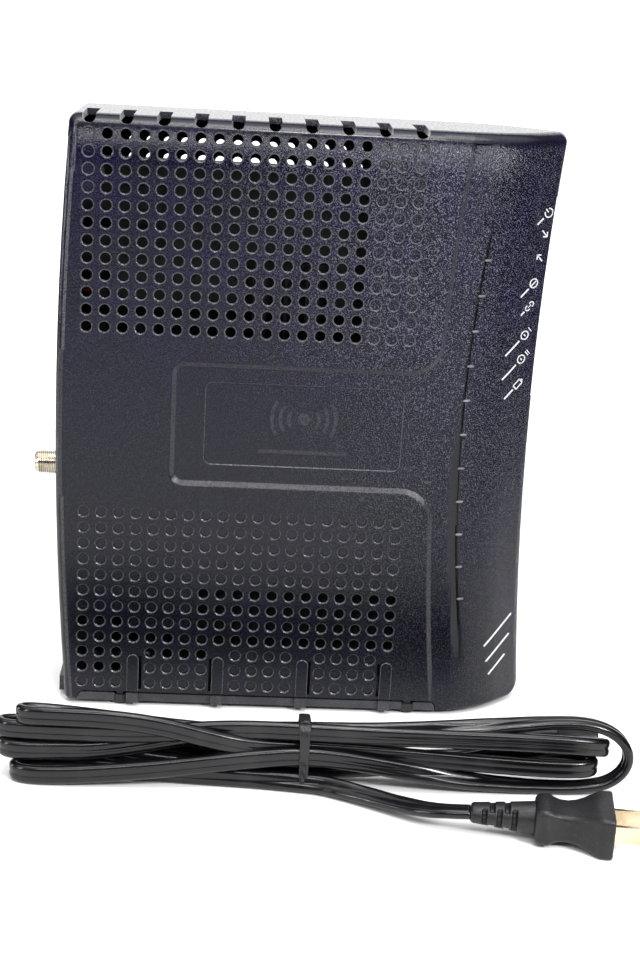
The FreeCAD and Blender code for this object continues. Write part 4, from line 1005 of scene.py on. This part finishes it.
def moulded_plastic(name, colour, worn, roughness, scale, grain_height, glint_specks=0.0):
    """Plainer moulded plastic: faint cloudiness, fine grain and, where asked, pale specks painted as glints.
    """
    material, tree, shader, place = new_material(name, colour, roughness, gloss=0.3)
    cloud = mixed(tree, between(tree, noise(tree, place, 60.0, 3.0), 0.35, 0.65), colour, worn)
    if glint_specks > 0:
        # Pale specks painted into the colour as glints.
        dots = between(tree, noise(tree, place, scale * 0.8, 0.0), 0.62, 0.74, 0.0, glint_specks)
        cloud = mixed(tree, dots, cloud, tuple(min(1.0, c * 6) for c in worn))
    tree.links.new(cloud, shader.inputs["Base Color"])
    shine = between(tree, noise(tree, place, scale * 0.5), 0.3, 0.7, roughness - 0.06, roughness + 0.08)
    tree.links.new(shine, shader.inputs["Roughness"])
    bump(tree, shader, product(tree, noise(tree, place, scale), grain_height))
    return material


def metal(name, colour, tarnish, roughness, brush):
    """Plated or brushed metal with fine scratches along one axis and faint tarnish."""
    material, tree, shader, place = new_material(name, colour, roughness, 1.0)
    lines = noise(tree, stretched(tree, place, brush), 1.0, 2.0)
    patches = between(tree, noise(tree, place, 140.0, 3.0), 0.45, 0.75)
    tree.links.new(mixed(tree, patches, colour, tarnish), shader.inputs["Base Color"])
    shine = between(tree, lines, 0.3, 0.7, roughness - 0.07, roughness + 0.12)
    tree.links.new(shine, shader.inputs["Roughness"])
    bump(tree, shader, product(tree, lines, 0.000012))
    return material


def clear_plastic(name, colour, roughness, transmission):
    """Clear or smoked moulding with faint flow marks."""
    material, tree, shader, place = new_material(name, colour, roughness)
    shader.inputs["Transmission Weight"].default_value = transmission
    shader.inputs["IOR"].default_value = 1.49
    flow = noise(tree, stretched(tree, place, (60.0, 60.0, 400.0)), 1.0, 2.0)
    darker = tuple(c * 0.85 for c in colour)
    tree.links.new(mixed(tree, flow, colour, darker), shader.inputs["Base Color"])
    bump(tree, shader, product(tree, flow, 0.000006))
    return material


def board_laminate(name):
    """Dark green solder mask with the shadow of copper tracks under it."""
    material, tree, shader, place = new_material(name, (0.002, 0.007, 0.005), 0.35)
    tracks = noise(tree, stretched(tree, place, (900.0, 40.0, 120.0)), 1.0, 0.0)
    lines = between(tree, tracks, 0.52, 0.56)
    green = mixed(tree, lines, (0.002, 0.006, 0.004), (0.003, 0.010, 0.006))
    tree.links.new(green, shader.inputs["Base Color"])
    bump(tree, shader, product(tree, lines, 0.00003))
    return material


def cord_jacket(name):
    """Glossy black jacket with faint drawing marks along the cord and fine scuffs."""
    material, tree, shader, place = new_material(name, (0.004, 0.004, 0.005), 0.20, gloss=0.35)
    marks = noise(tree, stretched(tree, place, (60.0, 900.0, 900.0)), 1.0, 2.0)
    scuffs = between(tree, noise(tree, place, 90.0, 4.0), 0.50, 0.72)
    black = mixed(tree, scuffs, (0.003, 0.003, 0.004), (0.008, 0.008, 0.009))
    tree.links.new(black, shader.inputs["Base Color"])
    tree.links.new(between(tree, marks, 0.3, 0.7, 0.13, 0.26), shader.inputs["Roughness"])
    waves = product(tree, noise(tree, place, 120.0), 0.00008)
    bump(tree, shader, maths(tree, "ADD", waves, product(tree, marks, 0.000008)))
    return material


# Plain mouldings: colour, worn colour, roughness, grain scale, grain height and share of pale specks painted
# as glints.
MOULDED = {
    "panel_plastic": ((0.009, 0.009, 0.013), (0.013, 0.013, 0.018), 0.42, 1400.0, 0.0002, 0.6),
    "cover_plastic": ((0.020, 0.020, 0.024), (0.032, 0.032, 0.037), 0.32, 1800.0, 0.00006, 0.1),
    "foot_rubber": ((0.014, 0.014, 0.014), (0.024, 0.023, 0.022), 0.72, 900.0, 0.0001),
    "ribbon_film": ((0.30, 0.30, 0.28), (0.24, 0.24, 0.22), 0.4, 500.0, 0.00002),
    "bay_plastic": ((0.012, 0.012, 0.014), (0.018, 0.018, 0.020), 0.5, 800.0, 0.00006),
    "battery_wrap": ((0.018, 0.020, 0.040), (0.024, 0.027, 0.052), 0.28, 120.0, 0.00012),
    "jack_plastic": ((0.010, 0.010, 0.011), (0.016, 0.016, 0.017), 0.42, 800.0, 0.00005),
    "white_insulator": ((0.70, 0.70, 0.67), (0.62, 0.61, 0.57), 0.40, 500.0, 0.00003),
    "button_plastic": ((0.10, 0.012, 0.010), (0.07, 0.010, 0.008), 0.40, 500.0, 0.00003),
    "chip_resin": ((0.010, 0.010, 0.010), (0.016, 0.016, 0.016), 0.6, 1200.0, 0.00006),
    "fin_aluminium": ((0.012, 0.012, 0.013), (0.02, 0.02, 0.022), 0.45, 900.0, 0.00005),
    "tie_plastic": ((0.009, 0.009, 0.010), (0.014, 0.014, 0.015), 0.34, 700.0, 0.00004),
    "plug_plastic": ((0.006, 0.006, 0.007), (0.010, 0.010, 0.011), 0.40, 1600.0, 0.00006, 0.12),
}
# Metals: colour, tarnish, roughness, and how fine the brushing is along each axis.
METALS = {
    "spring_contacts": ((0.62, 0.48, 0.24), (0.42, 0.33, 0.18), 0.30, (80.0, 900.0, 900.0)),
    "nickel_plate": ((0.52, 0.48, 0.38), (0.38, 0.33, 0.25), 0.26, (900.0, 120.0, 120.0)),
    "shield_steel": ((0.30, 0.30, 0.29), (0.20, 0.20, 0.19), 0.42, (120.0, 900.0, 900.0)),
    "blade_brass": ((0.74, 0.60, 0.42), (0.56, 0.43, 0.27), 0.30, (120.0, 900.0, 900.0)),
}
# Clear and smoked mouldings: colour, roughness and how much light they let through.
CLEAR = {
    "smoked_window": ((0.015, 0.015, 0.018), 0.10, 0.0),
    "clear_guide": ((0.80, 0.82, 0.82), 0.12, 0.8),
    "lamp_resin": ((0.82, 0.86, 0.80), 0.15, 0.6),
    "fuse_glass": ((0.80, 0.83, 0.82), 0.05, 0.9),
}


def make_materials():
    """One material for each of the record's slots."""
    materials = {
        "case_plastic": case_plastic("case_plastic", False),
        "board_laminate": board_laminate("board_laminate"),
        "cord_jacket": cord_jacket("cord_jacket"),
    }
    for looks, make in ((MOULDED, moulded_plastic), (METALS, metal), (CLEAR, clear_plastic)):
        for slot, look in looks.items():
            materials[slot] = make(slot, *look)
    return materials


def printed_ink(name):
    """Pale grey printing, slightly worn."""
    material, tree, shader, place = new_material(name, (0.52, 0.52, 0.54), 0.5)
    worn = between(tree, noise(tree, place, 900.0, 2.0), 0.55, 0.75)
    grey = mixed(tree, worn, (0.55, 0.55, 0.57), (0.30, 0.30, 0.32))
    tree.links.new(grey, shader.inputs["Base Color"])
    return material


def dress(obj, material):
    """Gives an object one material in place of any it had."""
    obj.data.materials.clear()
    obj.data.materials.append(material)


def dress_everything():
    """Gives every CAD node the material of its slot, the left shell its own with the vent line, the cord,
    plug and coax pieces the material of their slot, and the vent bridges and printed marks their own.
    """
    materials = make_materials()
    for row in frame["record"]["subparts"]:
        dress(nodes[row["node"]], materials[row["material_slot"]])
    dress(nodes["side_shell_left"], case_plastic("case_plastic_left", True))
    for piece in (cord, *cord_pieces, *coax_pieces):
        dress(piece, materials[piece["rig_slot"]])
    # The vent bridges are the case's plastic; this pale copy paints a highlight on them.
    pale = moulded_plastic("bridge_painted_highlight", (0.10, 0.10, 0.11), (0.16, 0.16, 0.17), 0.25, 700.0, 0.00002)
    dress(bridges, pale)
    ink = printed_ink("printed_ink")
    for piece in (icons, bars):
        dress(piece, ink)


dress_everything()

# ---------------- floor and light


FLOOR_LEFT = -0.6
FLOOR_RIGHT = 0.36
FLOOR_NEAR = -1.2
FLOOR_FAR = 0.4
# Each soft light: name, place, how high up the modem it aims, size and power.
SOFTBOXES = [
    ("softbox_top", (0.05, -0.42, 0.95), 0.15, (0.16, 0.12), 2.2),
    ("softbox_front", (0.15, -0.80, 0.75), 0.15, (1.10, 0.10), 7.0),
    ("softbox_key", (0.66, -0.76, 0.61), 0.15, (0.20, 0.16), 9.0),
    ("softbox_left", (-1.00, 0.10, 0.22), 0.12, (0.22, 0.40), 2.5),
    ("softbox_side", (-0.75, -0.60, 0.40), 0.12, (0.12, 0.45), 2.5),
]


def make_floor():
    """A plain pale floor."""
    corners = [(FLOOR_LEFT, FLOOR_NEAR, 0), (FLOOR_RIGHT, FLOOR_NEAR, 0),
               (FLOOR_RIGHT, FLOOR_FAR, 0), (FLOOR_LEFT, FLOOR_FAR, 0)]
    floor = new_object("floor", corners, [(0, 1, 2, 3)], False)
    material, tree, shader, place = new_material("floor_pale", (0.88, 0.88, 0.88), 0.5)
    shade = mixed(tree, noise(tree, place, 3.0, 2.0), (0.81, 0.81, 0.81), (0.83, 0.83, 0.83))
    tree.links.new(shade, shader.inputs["Base Color"])
    floor.data.materials.append(material)


def make_world():
    """A studio that is bright behind and above the modem and dim in front of it."""
    world = bpy.data.worlds.new("studio")
    world.use_nodes = True
    tree = world.node_tree
    facing = axes(tree, tree.nodes.new("ShaderNodeTexCoord").outputs["Generated"])
    front = between(tree, facing[1], -0.60, 0.0, 0.04, 0.12)
    behind = between(tree, facing[1], 0.78, 0.90, 0.12, 1.6)
    above = between(tree, facing[2], 0.60, 0.88, 0.0, 1.6)
    overhead = between(tree, facing[2], 0.92, 0.97, 0.0, 4.5)
    strength = maths(tree, "ADD", larger(tree, front, behind), above)
    strength = maths(tree, "ADD", strength, overhead)
    tree.links.new(strength, tree.nodes["Background"].inputs["Strength"])
    tree.nodes["Background"].inputs["Color"].default_value = (1, 1, 1, 1)
    bpy.context.scene.world = world
    bpy.context.scene.view_settings.view_transform = "Standard"


def add_light(name, place, aim_height, size, power):
    """A rectangular area light that faces a place on the modem's upright axis."""
    data = bpy.data.lights.new(name, "AREA")
    data.shape = "RECTANGLE"
    data.size, data.size_y = size
    data.energy = power
    light = bpy.data.objects.new(name, data)
    bpy.context.scene.collection.objects.link(light)
    light.location = place
    light.rotation_mode = "QUATERNION"
    light.rotation_quaternion = (Vector((0, 0, aim_height)) - Vector(place)).to_track_quat("-Z", "Y")


make_floor()
make_world()
for softbox in SOFTBOXES:
    add_light(*softbox)
